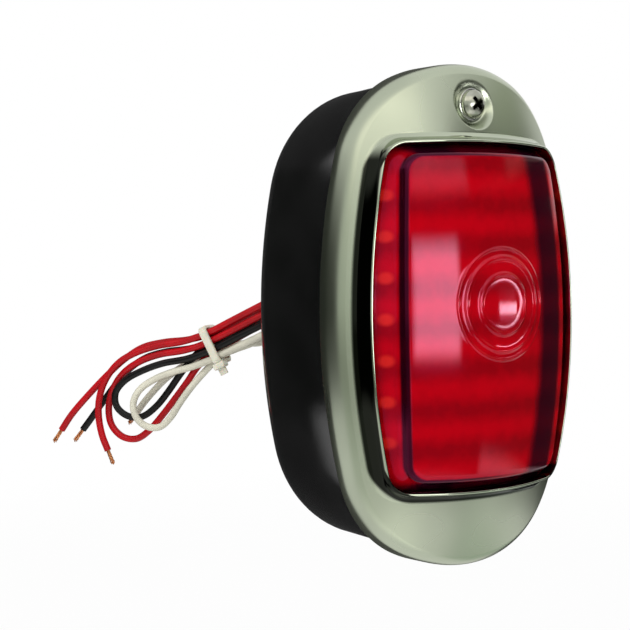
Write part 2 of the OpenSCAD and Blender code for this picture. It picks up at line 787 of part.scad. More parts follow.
// Half a turn where a wire doubles back on the lamp's side of the tie
fold_r = 6;
function fold(c, tilt) = [for (a = [0 : 45 : 180])
    c + fold_r * (sin(a) * [-cos(run_fall), 0, sin(run_fall)]
        - cos(a) * [sin(tilt) * sin(run_fall), cos(tilt), sin(tilt) * cos(run_fall)])];

// The first points of a wire, straight out of its hole in the grommet
function start(x, z) = [for (y = [exit_y, 2.5, 8]) [x * lead_pitch / 2, y, grommet_z + z * lead_pitch / 2]];

red_1 = concat(
    [[20, 1, 7], [27.5, -1, 3.6], [37, -3.2, -1.2]],
    [slot(0.5, -1)],
    [[67, -3.2, -13.8], [77.5, -3.2, -15.5], [86, -3.2, -18.4], [93, -2.2, -22.8], [98, -0.6, -28.8],
    [100.3, 0, -35.8], [99.4, 0, -42.4], [95, 0, -47], [89, 0, -47.8], [83.5, 0, -44.4], [78, 0, -38.6],
    [73, 0, -32.6], [68, 0, -26.4], [62.8, 0, -19.6]],
    [slot(-0.5, 0)],
    [[48, 0, -9.8], [41, 0, -6.2]],
    fold([34.4, 5.1, 0.4], 32),
    [[44, 8.4, -0.2], [51, 5.6, -4]],
    [slot(1.5, 1)],
    [[68, 3.2, -10.2], [78, 3.2, -11.2], [87, 3.2, -13.2], [94.5, 2.9, -17.6], [101.5, 2.2, -23.6],
    [109, 1.4, -31], [116, 0.6, -38.6], [120.5, 0, -45]]
);
red_2 = concat(
    [[20, -2, 8], [28, -2.8, 6.6], [37.5, -3.2, 2.2], [48, -3.2, -2.8]],
    [slot(1.5, -1)],
    [[68, -3.2, -10.6], [78, -3.2, -12.2], [87, -3.2, -14.8], [94.4, -3.2, -18.8], [99.8, -3.2, -25],
    [102.6, -3.2, -32], [103, -3.4, -39], [101.6, -3.8, -46], [99, -4.2, -52]]
);
black = concat(
    [[20, -2, 4], [28, -3.2, 0.2], [36.2, -3.2, -4.4], [46, -3.2, -8.9]],
    [slot(-0.5, -1)],
    [[66, -3.2, -17], [76, -3.2, -18.8], [84.5, -3.2, -21.6], [91.5, -3.4, -25.2], [95.6, -3.6, -30],
    [95.4, -3.2, -35.4], [91.4, -2, -39], [86, -0.8, -39.2], [80.6, 0, -35.4], [75.6, 0, -29.8],
    [70.4, 0, -23], [64.5, 0, -16.2]],
    [slot(0.5, 0)],
    [[50.5, 0, -7.4]],
    fold([44.4, 6, -4.2], 0),
    [[50.5, 6.6, -7.4]],
    [slot(0.5, 1)],
    [[67.4, 3.8, -13.5], [77.5, 3.2, -14.8], [86, 3.2, -17.2], [93, 3.2, -21.6], [98.5, 3.2, -27.2],
    [104, 3, -34], [109, 2.6, -40.5], [112.5, 2.2, -45]]
);
white = concat(
    [[20, 1, 2.4], [27.5, -1, -2.3], [35.2, -3.2, -7.6], [44.8, -3.2, -12]],
    [slot(-1.5, -1)],
    [[63.6, -3.2, -19.8], [72, -3.2, -22], [79, -3.6, -24.6], [84.8, -4.6, -28.4], [87.4, -5.6, -33.4],
    [86.4, -6, -38.6], [82.4, -6, -42.2], [77, -5.4, -42.6], [72.8, -4.6, -39], [69.4, -3.8, -33.8],
    [65.6, -2.6, -28.4], [61, -0.9, -22.8]],
    [slot(-1.5, 0)],
    [[48.5, 0, -13.8]],
    fold([42.6, 6, -11.8], 0),
    [[48.5, 6.8, -12]],
    [slot(-0.5, 1)],
    [[64, 3.8, -17.2], [71.5, 3.2, -20.8], [77.5, 3.2, -24.8], [82.5, 3.2, -29.4], [87, 3.2, -34.2],
    [90, 3.2, -38]]
);
function whole(x, z, points) = concat(start(x, z), [for (p = points) on_run(p)]);
routes = [whole(1, 1, red_1), whole(-1, 1, red_2), whole(-1, -1, black), whole(1, -1, white)];

// A smooth curve through the points, with a number of steps between each two
function curve(p, steps) =
    let (n = len(p))
    concat([for (i = [0 : n - 2]) for (k = [0 : steps - 1])
        let (a = i == 0 ? 2 * p[0] - p[1] : p[i - 1])
        let (b = p[i])
        let (c = p[i + 1])
        let (d = i == n - 2 ? 2 * p[n - 1] - p[n - 2] : p[i + 2])
        let (t = k / steps)
        b + t * (c - a) / 2
            + t * t * (2 * a - 5 * b + 4 * c - d) / 2
            + t * t * t * (3 * b - 3 * c + d - a) / 2],
        [p[n - 1]]);

function unit(v) = v / norm(v);
function square_to(v, t) = unit(v - (v * t) * t);

// A tube with flat ends along a path; each ring's first corner is carried on from the ring before
module tube(path, d, sides) {
    n = len(path);
    along = [for (i = [0 : n - 1]) unit(path[min(i + 1, n - 1)] - path[max(i - 1, 0)])];
    side = [for (i = 0, v = square_to([0, 0, 1], along[0]); i < n; i = i + 1,
        v = i < n ? square_to(v, along[i]) : v) v];
    points = [for (i = [0 : n - 1]) for (k = [0 : sides - 1])
        let (a = 360 * k / sides)
        path[i] + d / 2 * (cos(a) * side[i] + sin(a) * cross(along[i], side[i]))];
    caps = [[for (k = [0 : sides - 1]) k], [for (k = [sides - 1 : -1 : 0]) (n - 1) * sides + k]];
    skin = [for (i = [0 : n - 2]) for (k = [0 : sides - 1]) for (t = [0, 1])
        let (a = i * sides + k)
        let (b = i * sides + (k + 1) % sides)
        t == 0 ? [a, a + sides, b + sides] : [a, b + sides, b]];
    polyhedron(points, concat(caps, skin));
}

wire_sides = 6;
wire_steps = 2;

// Prints the least gap between two wires, or between a wire and itself past a few diameters
module show_gap(name, i, j) {
    steps = 6;
    apart = i == j ? 4 * steps : 0;
    p = curve(routes[i], steps);
    q = curve(routes[j], steps);
    least = min([for (a = [0 : len(p) - 1]) for (b = [0 : len(q) - 1])
        if (i != j || b - a >= apart) norm(p[a] - q[b])]);
    echo(str(name, " least gap ", least - wire_d, " mm"));
}

function path_length(p) =
    let (c = curve(p, 6))
    let (parts = [for (i = [1 : len(c) - 1]) norm(c[i] - c[i - 1])])
    parts * [for (l = parts) 1];

module wire(i) {
    echo(str("wire ", i + 1, " length ", path_length(routes[i]), " mm"));
    for (j = [i : len(routes) - 1]) show_gap(str("wires ", i + 1, " and ", j + 1), i, j);
    tube(curve(routes[i], wire_steps), wire_d, wire_sides);
}

module red_wire_1() { color("red") wire(0); }
module red_wire_2() { color("red") wire(1); }
module black_wire() { color("black") wire(2); }
module white_wire() { color("white") wire(3); }

module wire_ends() {
    copper_d = 1.4;
    color("peru") for (r = routes) {
        last = r[len(r) - 1];
        run = unit(last - r[len(r) - 2]);
        tube([last, last + run * strip_l], copper_d, 12);
    }
}

module cable_tie() {
    band_gap = 0.5;
    half_w = strand_pitch + wire_d / 2 + band_gap;
    half_u = 1.5 * strand_pitch + wire_d / 2 + band_gap;
    head_out = 0.8;
    head_w = tie_w + 2 * head_out;
    head_h = 3.4;
    tail_l = 2.5;
    tail_in = 0.6;
    color("ivory") translate(on_run(tie_c)) rotate([0, 0, run_turn]) rotate([-run_fall, 0, 0]) {
        difference() {
            translate([-half_w - tie_t, -tie_w / 2, -half_u - tie_t])
                cube([2 * (half_w + tie_t), tie_w, 2 * (half_u + tie_t)]);
            translate([-half_w, -tie_w, -half_u]) cube([2 * half_w, 2 * tie_w, 2 * half_u]);
        }
        translate([-half_w - tie_t, -head_w / 2, -half_u - tie_t - head_h / 2])
            cube([head_h + over, head_w, head_h / 2 + tie_t / 2]);
        translate([-half_w + tail_in, -tie_w / 2, -half_u - tie_t - head_h / 2 - tail_l])
            cube([tie_t, tie_w, tail_l + over]);
    }
}

housing();
bezel();
lens();
lens_gasket();
rim_seal();
lens_clips();
bezel_screw();
screw_washer();
screw_bracket();
screw_nut();
bezel_tongue();
hinge_bracket();
circuit_board();
leds();
resistors();
rectifier_diodes();
capacitor();
board_screws();
board_standoffs();
board_bracket();
mount_studs();
mount_pad();
wire_grommet();
inner_leads();
red_wire_1();
red_wire_2();
black_wire();
white_wire();
wire_ends();
cable_tie();
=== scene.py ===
"""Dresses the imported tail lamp: detailed pieces, finishes, wires, studio and camera."""

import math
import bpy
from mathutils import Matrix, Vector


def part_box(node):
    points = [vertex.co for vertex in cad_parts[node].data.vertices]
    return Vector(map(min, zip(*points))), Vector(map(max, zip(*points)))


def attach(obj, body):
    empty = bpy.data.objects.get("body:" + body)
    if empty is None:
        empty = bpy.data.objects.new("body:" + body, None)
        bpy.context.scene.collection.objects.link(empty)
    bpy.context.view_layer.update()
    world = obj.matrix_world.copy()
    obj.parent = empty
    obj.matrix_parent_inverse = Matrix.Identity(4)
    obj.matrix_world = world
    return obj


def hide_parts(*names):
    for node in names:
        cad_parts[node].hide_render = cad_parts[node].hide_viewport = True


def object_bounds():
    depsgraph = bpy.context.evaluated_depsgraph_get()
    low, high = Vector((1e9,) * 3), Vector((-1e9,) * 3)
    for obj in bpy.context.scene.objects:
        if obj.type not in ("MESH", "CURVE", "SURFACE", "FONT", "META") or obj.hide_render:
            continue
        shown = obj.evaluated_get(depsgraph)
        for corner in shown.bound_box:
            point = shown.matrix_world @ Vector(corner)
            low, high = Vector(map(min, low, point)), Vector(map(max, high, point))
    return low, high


bl_info = {
    "name": "Barrel Tail Lamp",
    "version": (1, 0, 0),
    "blender": (4, 5, 0),
    "location": "View3D > Sidebar > Tail Lamp",
    "description": "Builds a barrel-shaped tail lamp with its lens, bezel, board and wires",
    "category": "Object",
}

import bmesh
import bpy
import numpy as np
from bpy.props import FloatProperty, FloatVectorProperty, IntProperty, PointerProperty
from mathutils import Matrix, Vector

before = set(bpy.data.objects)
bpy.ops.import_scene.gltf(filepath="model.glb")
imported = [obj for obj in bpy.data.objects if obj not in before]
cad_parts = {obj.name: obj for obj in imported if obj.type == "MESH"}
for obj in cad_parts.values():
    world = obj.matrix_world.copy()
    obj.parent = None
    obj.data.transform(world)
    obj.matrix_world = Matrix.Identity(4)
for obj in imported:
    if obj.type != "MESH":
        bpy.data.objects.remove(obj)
CAD_BOX = [list(corner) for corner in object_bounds()]
MM = 0.001

# Sizes in millimetres, most of them the same as in the part's source
BEZEL_LOW, BEZEL_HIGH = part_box("bezel")
RIM_Y = BEZEL_HIGH.y / MM
BEZEL_W = (BEZEL_HIGH.x - BEZEL_LOW.x) / MM
BEZEL_H = (BEZEL_HIGH.z - BEZEL_LOW.z) / MM

# Outlines: width, height, and the radii of the bowed sides, the corners and the bowed ends
BEZEL_SHAPE = (BEZEL_W, BEZEL_H, 205, 39, 58)
COLLAR_SHAPE = (88.6, 114, 196, 9, 600)
LENS_SHAPE = (70, 106, 385, 6, 600)

SIDE_RISE = 6.8
DOME_SIDE_R = 76
DOME_CROWN = SIDE_RISE + BEZEL_W ** 2 / (8 * DOME_SIDE_R)
DOME_LONG_R = 300
SHEET = 0.9
EDGE_R = 4
COLLAR_RISE = 4.6
COLLAR_FLARE = 0.15
FILLET_W = 2.7
FILLET_H = 3.6
LENS_PROUD = 5.2
LENS_WALL = 2.6
LENS_EDGE_R = 1.5
LENS_GAP = 0.4
GASKET_T = 1.2
FLANGE_W = 4.3
FLANGE_T = 2.2
FLANGE_EDGE = 0.3
FLUTE_DEPTH = 0.18
FLUTE_PITCH = 5.0
RINGS_C = np.array([0, 4.0])
RINGS_R = 19.5
HOUSING_DEPTH = 47
HOUSING_WALL = 1
HOUSING_TAPER = 3
HOUSING_BACK_R = 12
HOUSING_CORNER_R = 42.04
HOUSING_INSET = SHEET + 0.7
SKIRT_LAP = 3
SCREW_Z = 69
SCREW_D = 4.8
DIMPLE_IN_R = 5.9
DIMPLE_OUT_R = 8.7
DIMPLE_CUT_R = DIMPLE_OUT_R - 0.1
DIMPLE_LAP_R = DIMPLE_OUT_R + 0.05
DIMPLE_HOLE_R = SCREW_D / 2 + 0.5
DIMPLE_PROUD = 0.004
DIMPLE_FLOOR = DOME_CROWN - SCREW_Z ** 2 / (2 * DOME_LONG_R) - 2.05
HEAD_BACK = DIMPLE_FLOOR + 0.9
HEAD_R = 4.8
HEAD_H = 3.2
HEAD_EDGE = 1.1
HEAD_RIM_R = 0.25
CROWN_R = (HEAD_R ** 2 + (HEAD_H - HEAD_EDGE) ** 2) / (2 * (HEAD_H - HEAD_EDGE))
RECESS_TURN = 38
SCREW_L = 22
SCREW_TIP = 0.8
THREAD_PITCH = 0.8
THREAD_DEPTH = 0.42
THREAD_START = 3.0
STUD_PITCH = 50.8
STUD_HOLE_R = 3.6
GROMMET_Z = 6
GROMMET_HOLE_R = 6.1
WIRE_D = 2.6
LEAD_PITCH = 3.8
LED_PITCH_Z = 13
EXIT_Y = -0.5
STRAND_R = 0.24
STRAND_TWIST_R = 0.5
STRAND_TURNS = 1.1
STRAND_FLARE = 0.35
STRAND_UNEVEN = 0.06
STRAND_BURIED = 0.3
BARE_L = 6
TIE_T = 1.1
TIE_W = 3
TIE_CORNER_R = 1.3
TIE_SOFT = 0.25
TIE_HEAD_H = 3.4
TIE_HEAD_W = 4.6

# Rings of the bull's-eye: radius, half width and height
BULLS_EYE = ((18.0, 0.75, 0.25), (15.0, 1.3, 0.36), (9.6, 1.3, 0.36))

# Cross recess at three depths below the crown: length and half width of its arms, and the depth
CROSS_RECESS = ((3.1, 0.8, -0.5), (2.6, 0.7, 0.6), (1.4, 0.5, 1.9))

# Points on the end, the corner and the side in a quarter of an outline, and round a turned piece
OUTLINE_STEPS = (14, 18, 20)
TURN_STEPS = 96

# How far a point may lie off the dome and still be one of its own
ON_DOME = 0.06

# Finishes: grain of the brushing, and the depth of relief, the bevels and the welds in metres
BRUSH_SCALE = (1500.0, 1500.0, 40.0)
RELIEF_DEPTH = 0.0001
BEVEL_W = 0.00015
WELD_W = 0.00001

# What the steel's masks blend in: roughness of the collar, the share of its colour left on the collar wall by
# painted dark reflection, and the painted shade in the screw's recess
COLLAR_ROUGH = 0.07
PAINTED_WALL_REFLECTION = 0.035
RECESS_PAINTED_SHADE = (0.02, 0.022, 0.014)


# Outlines

def unit(angles):
    """Points on the unit circle at angles in radians."""
    return np.stack([np.cos(angles), np.sin(angles)], axis=-1)


def circle(steps):
    """Points all round the unit circle."""
    return unit(np.arange(steps) * 2 * math.pi / steps)


def sweep(start, end, steps):
    """Angles in radians between two angles in degrees."""
    return np.radians(np.linspace(start, end, steps))


def lerp(first, second, share):
    """What lies a share of the way from the first to the second."""
    return first + (second - first) * share


def corner_centre(shape):
    """The centre of the round corner between the bowed side and the bowed end."""
    w, h, side_r, corner_r, end_r = shape
    sx, tz = w / 2 - side_r, h / 2 - end_r
    r0, r1 = side_r - corner_r, end_r - corner_r
    d = math.hypot(sx, tz)
    along = np.array([-sx, tz]) / d
    k = (r0 * r0 - r1 * r1 + d * d) / (2 * d)
    s = math.sqrt(r0 * r0 - k * k)
    return np.array([sx, 0]) + along * k + np.array([-along[1], along[0]]) * s


def outline(shape, inset=0.0):
    """Points of an outline moved inward by inset, clockwise as seen from the front."""
    w, h, side_r, corner_r, end_r = shape
    sx, tz = w / 2 - side_r, h / 2 - end_r
    c = corner_centre(shape)
    top_a = math.atan2(c[1] - tz, c[0])
    side_a = math.atan2(c[1], c[0] - sx)
    arcs = (((0, tz), end_r, math.pi / 2, top_a), (c, corner_r, top_a, side_a), ((sx, 0), side_r, side_a, 0))
    quarter = [np.array(centre) + (r - inset) * unit(lerp(start, end, np.arange(n) / n))
               for (centre, r, start, end), n in zip(arcs, OUTLINE_STEPS)]
    q = np.concatenate([*quarter, [(sx + side_r - inset, 0)]])
    return np.concatenate([q[:-1], q[:0:-1] * (1, -1), q[:-1] * (-1, -1), q[:0:-1] * (-1, 1)])


def dome(p):
    """Height of the bezel's dome in front of the bezel's rear edge."""
    return DOME_CROWN - p[..., 0] ** 2 / (2 * DOME_SIDE_R) - p[..., 1] ** 2 / (2 * DOME_LONG_R)


def flat_ring(points, height):
    """A ring of points at a height in front of the bezel's rear edge, one for all or one for each."""
    return np.stack([points[:, 0], RIM_Y - height + 0 * points[:, 0], points[:, 1]], axis=1)


def dome_ring(points, above):
    """A ring of points at a height above the dome."""
    return flat_ring(points, dome(points) + above)


# Meshes

def link_object(name, data):
    """A new object in the scene."""
    obj = bpy.data.objects.new(name, data)
    bpy.context.scene.collection.objects.link(obj)
    return obj


def mesh_object(name, points, faces, sharp=None):
    """An object from points in millimetres, shaded smooth up to an angle in degrees."""
    mesh = bpy.data.meshes.new(name)
    mesh.from_pydata((np.asarray(points, float) * MM).tolist(), [], faces)
    mesh.validate()
    turned = bmesh.new()
    turned.from_mesh(mesh)
    bmesh.ops.recalc_face_normals(turned, faces=turned.faces)
    turned.to_mesh(mesh)
    turned.free()
    smooth(mesh, sharp)
    return link_object(name, mesh)


def smooth(mesh, sharp=None):
    """Shades a mesh smooth, but not over edges sharper than an angle in degrees."""
    mesh.shade_smooth()
    if sharp:
        mesh.set_sharp_from_angle(angle=math.radians(sharp))


def ring_faces(n, pairs):
    """Quads between pairs of rings, each ring of n points."""
    return [(a * n + i, b * n + i, b * n + (i + 1) % n, a * n + (i + 1) % n)
            for a, b in pairs for i in range(n)]


def closed_shell(name, rings, sharp=40):
    """A shell whose last ring joins the first."""
    m = len(rings)
    faces = ring_faces(len(rings[0]), [(k, (k + 1) % m) for k in range(m)])
    return mesh_object(name, np.concatenate(rings), faces, sharp)


def capped_shell(name, rings, centres=None, sharp=40):
    """A shell whose first and last rings are closed, by fans where centres are given."""
    n, m = len(rings[0]), len(rings)
    points = np.concatenate(rings)
    faces = ring_faces(n, [(k, k + 1) for k in range(m - 1)])
    if centres is None:
        faces.append(tuple(range(n)))
        faces.append(tuple((m - 1) * n + i for i in reversed(range(n))))
    else:
        points = np.concatenate([points, np.array(centres, float)])
        for i in range(n):
            j = (i + 1) % n
            faces.append((m * n, i, j))
            faces.append((m * n + 1, (m - 1) * n + j, (m - 1) * n + i))
    return mesh_object(name, points, faces, sharp)


def lathe(name, profile, z, steps=TURN_STEPS):
    """A turned piece about an axis along Y at a height z; its profile is (radius, y) in millimetres."""
    rings = [flat_ring(np.array([0, z]) + r * circle(steps) * (1, -1), RIM_Y - y) for r, y in profile]
    return capped_shell(name, rings, [(0, y, z) for _, y in (profile[0], profile[-1])])


def apply_modifiers(obj):
    """Replaces an object's mesh with the evaluated one."""
    bpy.context.view_layer.update()
    evaluated = obj.evaluated_get(bpy.context.evaluated_depsgraph_get())
    mesh = bpy.data.meshes.new_from_object(evaluated)
    obj.modifiers.clear()
    obj.data = mesh


def cut(obj, cutter):
    """Cuts obj with cutter and removes the cutter."""
    modifier = obj.modifiers.new("cut", "BOOLEAN")
    modifier.operation = "DIFFERENCE"
    modifier.solver = "EXACT"
    modifier.object = cutter
    apply_modifiers(obj)
    bpy.data.objects.remove(cutter)


def place(obj, body, material, slot, *nodes):
    """Gives a piece its material and its body, and hides the nodes that it stands for. The slot is not used.
    """
    obj.data.materials.clear()
    obj.data.materials.append(material)
    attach(obj, body)
    if nodes:
        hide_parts(*nodes)
    return obj


def dress(finish_name, *nodes):
    """Gives CAD nodes a finish and a fine bevel on their edges."""
    for node in nodes:
        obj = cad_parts[node]
        obj.data.materials.clear()
        obj.data.materials.append(finish(finish_name))
        weld = obj.modifiers.new("weld", "WELD")
        weld.merge_threshold = WELD_W
        bevel = obj.modifiers.new("bevel", "BEVEL")
        bevel.width = BEVEL_W
        bevel.segments = 2
        bevel.limit_method = "ANGLE"
        bevel.angle_limit = math.radians(40)


# Shader nodes: what is fed to an input is a socket or a plain value

def feed(tree, socket, value):
    """Links a socket to another socket, or gives it a plain value."""
    if isinstance(value, bpy.types.NodeSocket):
        tree.links.new(value, socket)
    else:
        socket.default_value = value


def add_node(tree, kind, output=None, setup=None, **inputs):
    """Adds a node and feeds its named inputs; returns the named output, or else the node."""
    node = tree.nodes.new("ShaderNode" + kind)
    for label, value in (setup or {}).items():
        setattr(node, label, value)
    for label, value in inputs.items():
        feed(tree, node.inputs[label.replace("_", " ")], value)
    return node.outputs[output] if output else node


def math_node(tree, operation, *values, clamp=False):
    """The result of a Math node."""
    node = add_node(tree, "Math", setup={"operation": operation, "use_clamp": clamp})
    for socket, value in zip(node.inputs, values):
        feed(tree, socket, value)
    return node.outputs["Value"]


def times(tree, first, second):
    """A product."""
    return math_node(tree, "MULTIPLY", first, second)


def plus(tree, first, second):
    """A sum."""
    return math_node(tree, "ADD", first, second)


def minus(tree, first, second):
    """A difference."""
    return math_node(tree, "SUBTRACT", first, second)


def squares(tree, first, second):
    """The sum of two squares."""
    return plus(tree, times(tree, first, first), times(tree, second, second))


def hypotenuse(tree, first, second):
    """The length of the long side over two values at right angles."""
    return math_node(tree, "SQRT", squares(tree, first, second))


def step_node(tree, value, start, end):
    """A smooth step of a value, from 0 at start to 1 at end."""
    return add_node(tree, "MapRange", "Result", {"interpolation_type": "SMOOTHSTEP"}, Value=value,
                    From_Min=min(start, end), From_Max=max(start, end),
                    To_Min=float(start > end), To_Max=float(start < end))


def between(tree, value, rise, fall):
    """A mask of a value between two smooth steps."""
    return times(tree, step_node(tree, value, *rise), step_node(tree, value, *fall))


def mix_color(tree, share, first, second):
    """A blend of two colours by a share from 0 to 1."""
    return add_node(tree, "Mix", "Result", {"data_type": "RGBA"}, Factor=share, A=first, B=second)


def mix_shaders(tree, share, first, second):
    """Shows a blend of two shaders on a material's surface."""
    mix = add_node(tree, "MixShader", "Shader", Fac=share)
    feed(tree, mix.node.inputs[1], first)
    feed(tree, mix.node.inputs[2], second)
    feed(tree, tree.nodes["Material Output"].inputs["Surface"], mix)


def seen_rays(tree):
    """1 for what the camera sees straight, in reflections or through glass, and else 0."""
    rays = add_node(tree, "LightPath").outputs
    straight = math_node(tree, "MAXIMUM", rays["Is Camera Ray"], rays["Is Glossy Ray"])
    return math_node(tree, "MAXIMUM", straight, rays["Is Transmission Ray"])


def new_material(name):
    """A new material, its node tree and its shader."""
    made = bpy.data.materials.new(name)
    made.use_nodes = True
    return made, made.node_tree, made.node_tree.nodes["Principled BSDF"]


def places(tree):
    """Places on the lamp in millimetres, as a vector and as its three parts."""
    vector = add_node(tree, "VectorMath", "Vector", {"operation": "SCALE"},
                      Vector=add_node(tree, "TexCoord", "Object"), Scale=1 / MM)
    return vector, add_node(tree, "SeparateXYZ", Vector=vector).outputs


def outline_masks(tree, shape):
    """Places in millimetres, their heights, and how far they lie inside an outline's sides and inside it."""
    vector, parts = places(tree)
    w, h, side_r, corner_r, end_r = shape
    x, z = parts["X"], parts["Z"]
    inside = []
    for off, along, half, r in ((x, z, w / 2, side_r), (z, x, h / 2, end_r)):
        edge = plus(tree, times(tree, times(tree, along, along), -1 / (2 * r)), half)
        inside.append(minus(tree, edge, math_node(tree, "ABSOLUTE", off)))
    short = [math_node(tree, "MAXIMUM", minus(tree, corner_r, value), 0) for value in inside]
    return vector, z, inside[0], minus(tree, corner_r, hypotenuse(tree, *short))


def mask_group(build):
    """Turns a builder into a node group of that name, made once, whose outputs are the masks it returns."""
    def group():
        """The settings of a Group node that shows this group."""
        name = build.__name__
        if name not in bpy.data.node_groups:
            tree = bpy.data.node_groups.new(name, "ShaderNodeTree")
            masks = build(tree)
            for label in masks:
                tree.interface.new_socket(label, in_out="OUTPUT", socket_type="NodeSocketFloat")
            end = tree.nodes.new("NodeGroupOutput")
            for label, value in masks.items():
                feed(tree, end.inputs[label], value)
        return {"node_tree": bpy.data.node_groups[name]}
    return group


@mask_group
def lamp_speckle(tree):
    """Soft uneven patches and fine specks, as masks from 0 to 1."""
    for label in ("Patch Scale", "Speck Scale"):
        tree.interface.new_socket(label, in_out="INPUT", socket_type="NodeSocketFloat")
    scales = tree.nodes.new("NodeGroupInput").outputs
    coords = add_node(tree, "TexCoord", "Object")
    masks = {}
    for label, scale, detail, low, high in (("Patches", "Patch Scale", 1.0, 0.3, 0.7),
                                            ("Specks", "Speck Scale", 2.0, 0.45, 0.7)):
        noise = add_node(tree, "TexNoise", "Fac", Vector=coords, Scale=scales[scale], Detail=detail)
        masks[label] = step_node(tree, noise, low, high)
    return masks


@mask_group
def lamp_brush(tree):
    """Fine scratches that run up and down, as a height from 0 to 1."""
    stretch = add_node(tree, "VectorMath", "Vector", {"operation": "MULTIPLY"},
                       Vector=add_node(tree, "TexCoord", "Object"))
    feed(tree, stretch.node.inputs[1], BRUSH_SCALE)
    return {"Height": add_node(tree, "TexNoise", "Fac", Vector=stretch, Scale=1.0, Detail=3.0)}


@mask_group
def collar_polish_and_painted_reflection(tree):
    """Masks of the mirror-bright collar on the satin bezel, and of its wall, where painted dark reflection
    darkens the colour except at the top.
    """
    _, z, _, inside = outline_masks(tree, COLLAR_SHAPE)
    # Painted dark reflection: the collar's outer wall, from its foot up to its free edge, below the top
    wall = between(tree, inside, (-3.2, -2.2), (0.2, 0.0))
    below = step_node(tree, z, 56, 50)
    return {"Polish": step_node(tree, inside, -3.0, -2.0), "Painted Wall Reflection": times(tree, wall, below)}


@mask_group
def screw_recess(tree):
    """A mask of the cross recess in the screw's head, what lies behind its crown, where painted shade darkens
    the steel.
    """
    _, parts = places(tree)
    y = plus(tree, parts["Y"], HEAD_BACK + HEAD_H - RIM_Y)
    away = squares(tree, parts["X"], minus(tree, parts["Z"], SCREW_Z))
    below = minus(tree, y, math_node(tree, "DIVIDE", away, 2 * CROWN_R))
    in_head = step_node(tree, away, 3.6 ** 2, 3.4 ** 2)
    return {"Recess": times(tree, step_node(tree, below, 0.1, 0.45), in_head)}


@mask_group
def lens_painted_light_and_coat(tree):
    """Masks of painted light and shade on the lens: painted shade in bands between the rows of diodes,
    painted glow spots, painted shade at its edge, ends, foot and depths, and its face that takes the coat.
    """
    vector, z, in_x, inside = outline_masks(tree, LENS_SHAPE)
    turn = times(tree, plus(tree, z, 3), 2 * math.pi / LED_PITCH_Z)
    rows = math_node(tree, "MULTIPLY_ADD", math_node(tree, "COSINE", turn), 0.5, 0.5)
    noise = add_node(tree, "TexNoise", "Fac", Vector=vector, Scale=0.25, Detail=2.0)
    uneven = math_node(tree, "MULTIPLY_ADD", noise, 0.9, -0.45)
    row = math_node(tree, "DIVIDE", z, LED_PITCH_Z)
    row_off = times(tree, minus(tree, row, math_node(tree, "ROUND", row)), LED_PITCH_Z)
    reach = hypotenuse(tree, row_off, plus(tree, in_x, 3.6))
    painted_glow = step_node(tree, reach, 2.6, 1.0)
    at_end = step_node(tree, minus(tree, in_x, inside), 1.5, 5.0)
    return {
        # Painted shade in bands along the rows of diodes; the same mask also varies the roughness
        "Band": math_node(tree, "ADD", rows, uneven, clamp=True),
        # Painted shade along the lens's rounded edge
        "Corner": between(tree, inside, (-0.9, -0.2), (1.8, 1.0)),
        # Painted glow: bright spots near the sides at each row of diodes, away from the ends
        "Spot": times(tree, painted_glow, step_node(tree, math_node(tree, "ABSOLUTE", z), 43, 41)),
        "Face": step_node(tree, inside, 0.8, 3.4),
        # Painted shade in a strip inside each side
        "Deep": between(tree, in_x, (20, 14), (3.0, 5.5)),
        # Painted shade on the lens's foot under the bezel
        "Foot": step_node(tree, inside, -5.4, -7.4),
        # Painted shade along the edge at the top and bottom ends
        "Ends": times(tree, at_end, step_node(tree, inside, 1.4, 0.2)),
    }


# What a user would change

class LampSettings(bpy.types.PropertyGroup):
    """Colours and finishes of the lamp."""

    lens_color: FloatVectorProperty(
        name="Lens", description="Colour of the lens plastic", subtype="COLOR",
        default=(0.72, 0.001, 0.010), min=0, max=1)
    steel_color: FloatVectorProperty(
        name="Bezel steel", description="Tint of the bezel's metal", subtype="COLOR",
        default=(0.46, 0.505, 0.39), min=0, max=1)
    paint_color: FloatVectorProperty(
        name="Housing paint", description="Colour of the housing's enamel", subtype="COLOR",
        default=(0.003, 0.003, 0.003), min=0, max=1)
    steel_rough: FloatProperty(
        name="Bezel roughness", description="Roughness of the bezel's metal", default=0.27, min=0, max=1)


class WireSettings(bpy.types.PropertyGroup):
    """Colours of the wires, and their strands."""

    red: FloatVectorProperty(
        name="Red wire", description="Colour of the red insulation", subtype="COLOR",
        default=(0.46, 0.001, 0.006), min=0, max=1)
    black: FloatVectorProperty(
        name="Black wire", description="Colour of the black insulation", subtype="COLOR",
        default=(0.004, 0.004, 0.004), min=0, max=1)
    white: FloatVectorProperty(
        name="White wire", description="Colour of the white insulation", subtype="COLOR",
        default=(0.66, 0.64, 0.52), min=0, max=1)
    strands: IntProperty(
        name="Strands", description="Copper strands in one wire", default=7, min=3, max=19)


class StudioSettings(bpy.types.PropertyGroup):
    """Light, floor and camera."""

    world_level: FloatProperty(
        name="Room light", description="Level of the soft light from all round", default=0.75, min=0)
    lamp_watts: FloatProperty(
        name="Lamps", description="Power of the large soft lamps", default=5.0, min=0)
    focal_mm: FloatProperty(
        name="Focal length", description="Focal length on a sensor 36 mm wide", default=92.52, min=10)
    roll: FloatProperty(
        name="Camera roll", description="Turn of the camera about its own view", subtype="ANGLE",
        default=math.radians(-0.71))
    pan: FloatProperty(
        name="Camera pan", description="Turn of the camera away from the lamp's middle", subtype="ANGLE",
        default=math.radians(4.53))


SETTINGS = {"tail_lamp": LampSettings, "tail_lamp_wires": WireSettings, "tail_lamp_studio": StudioSettings}


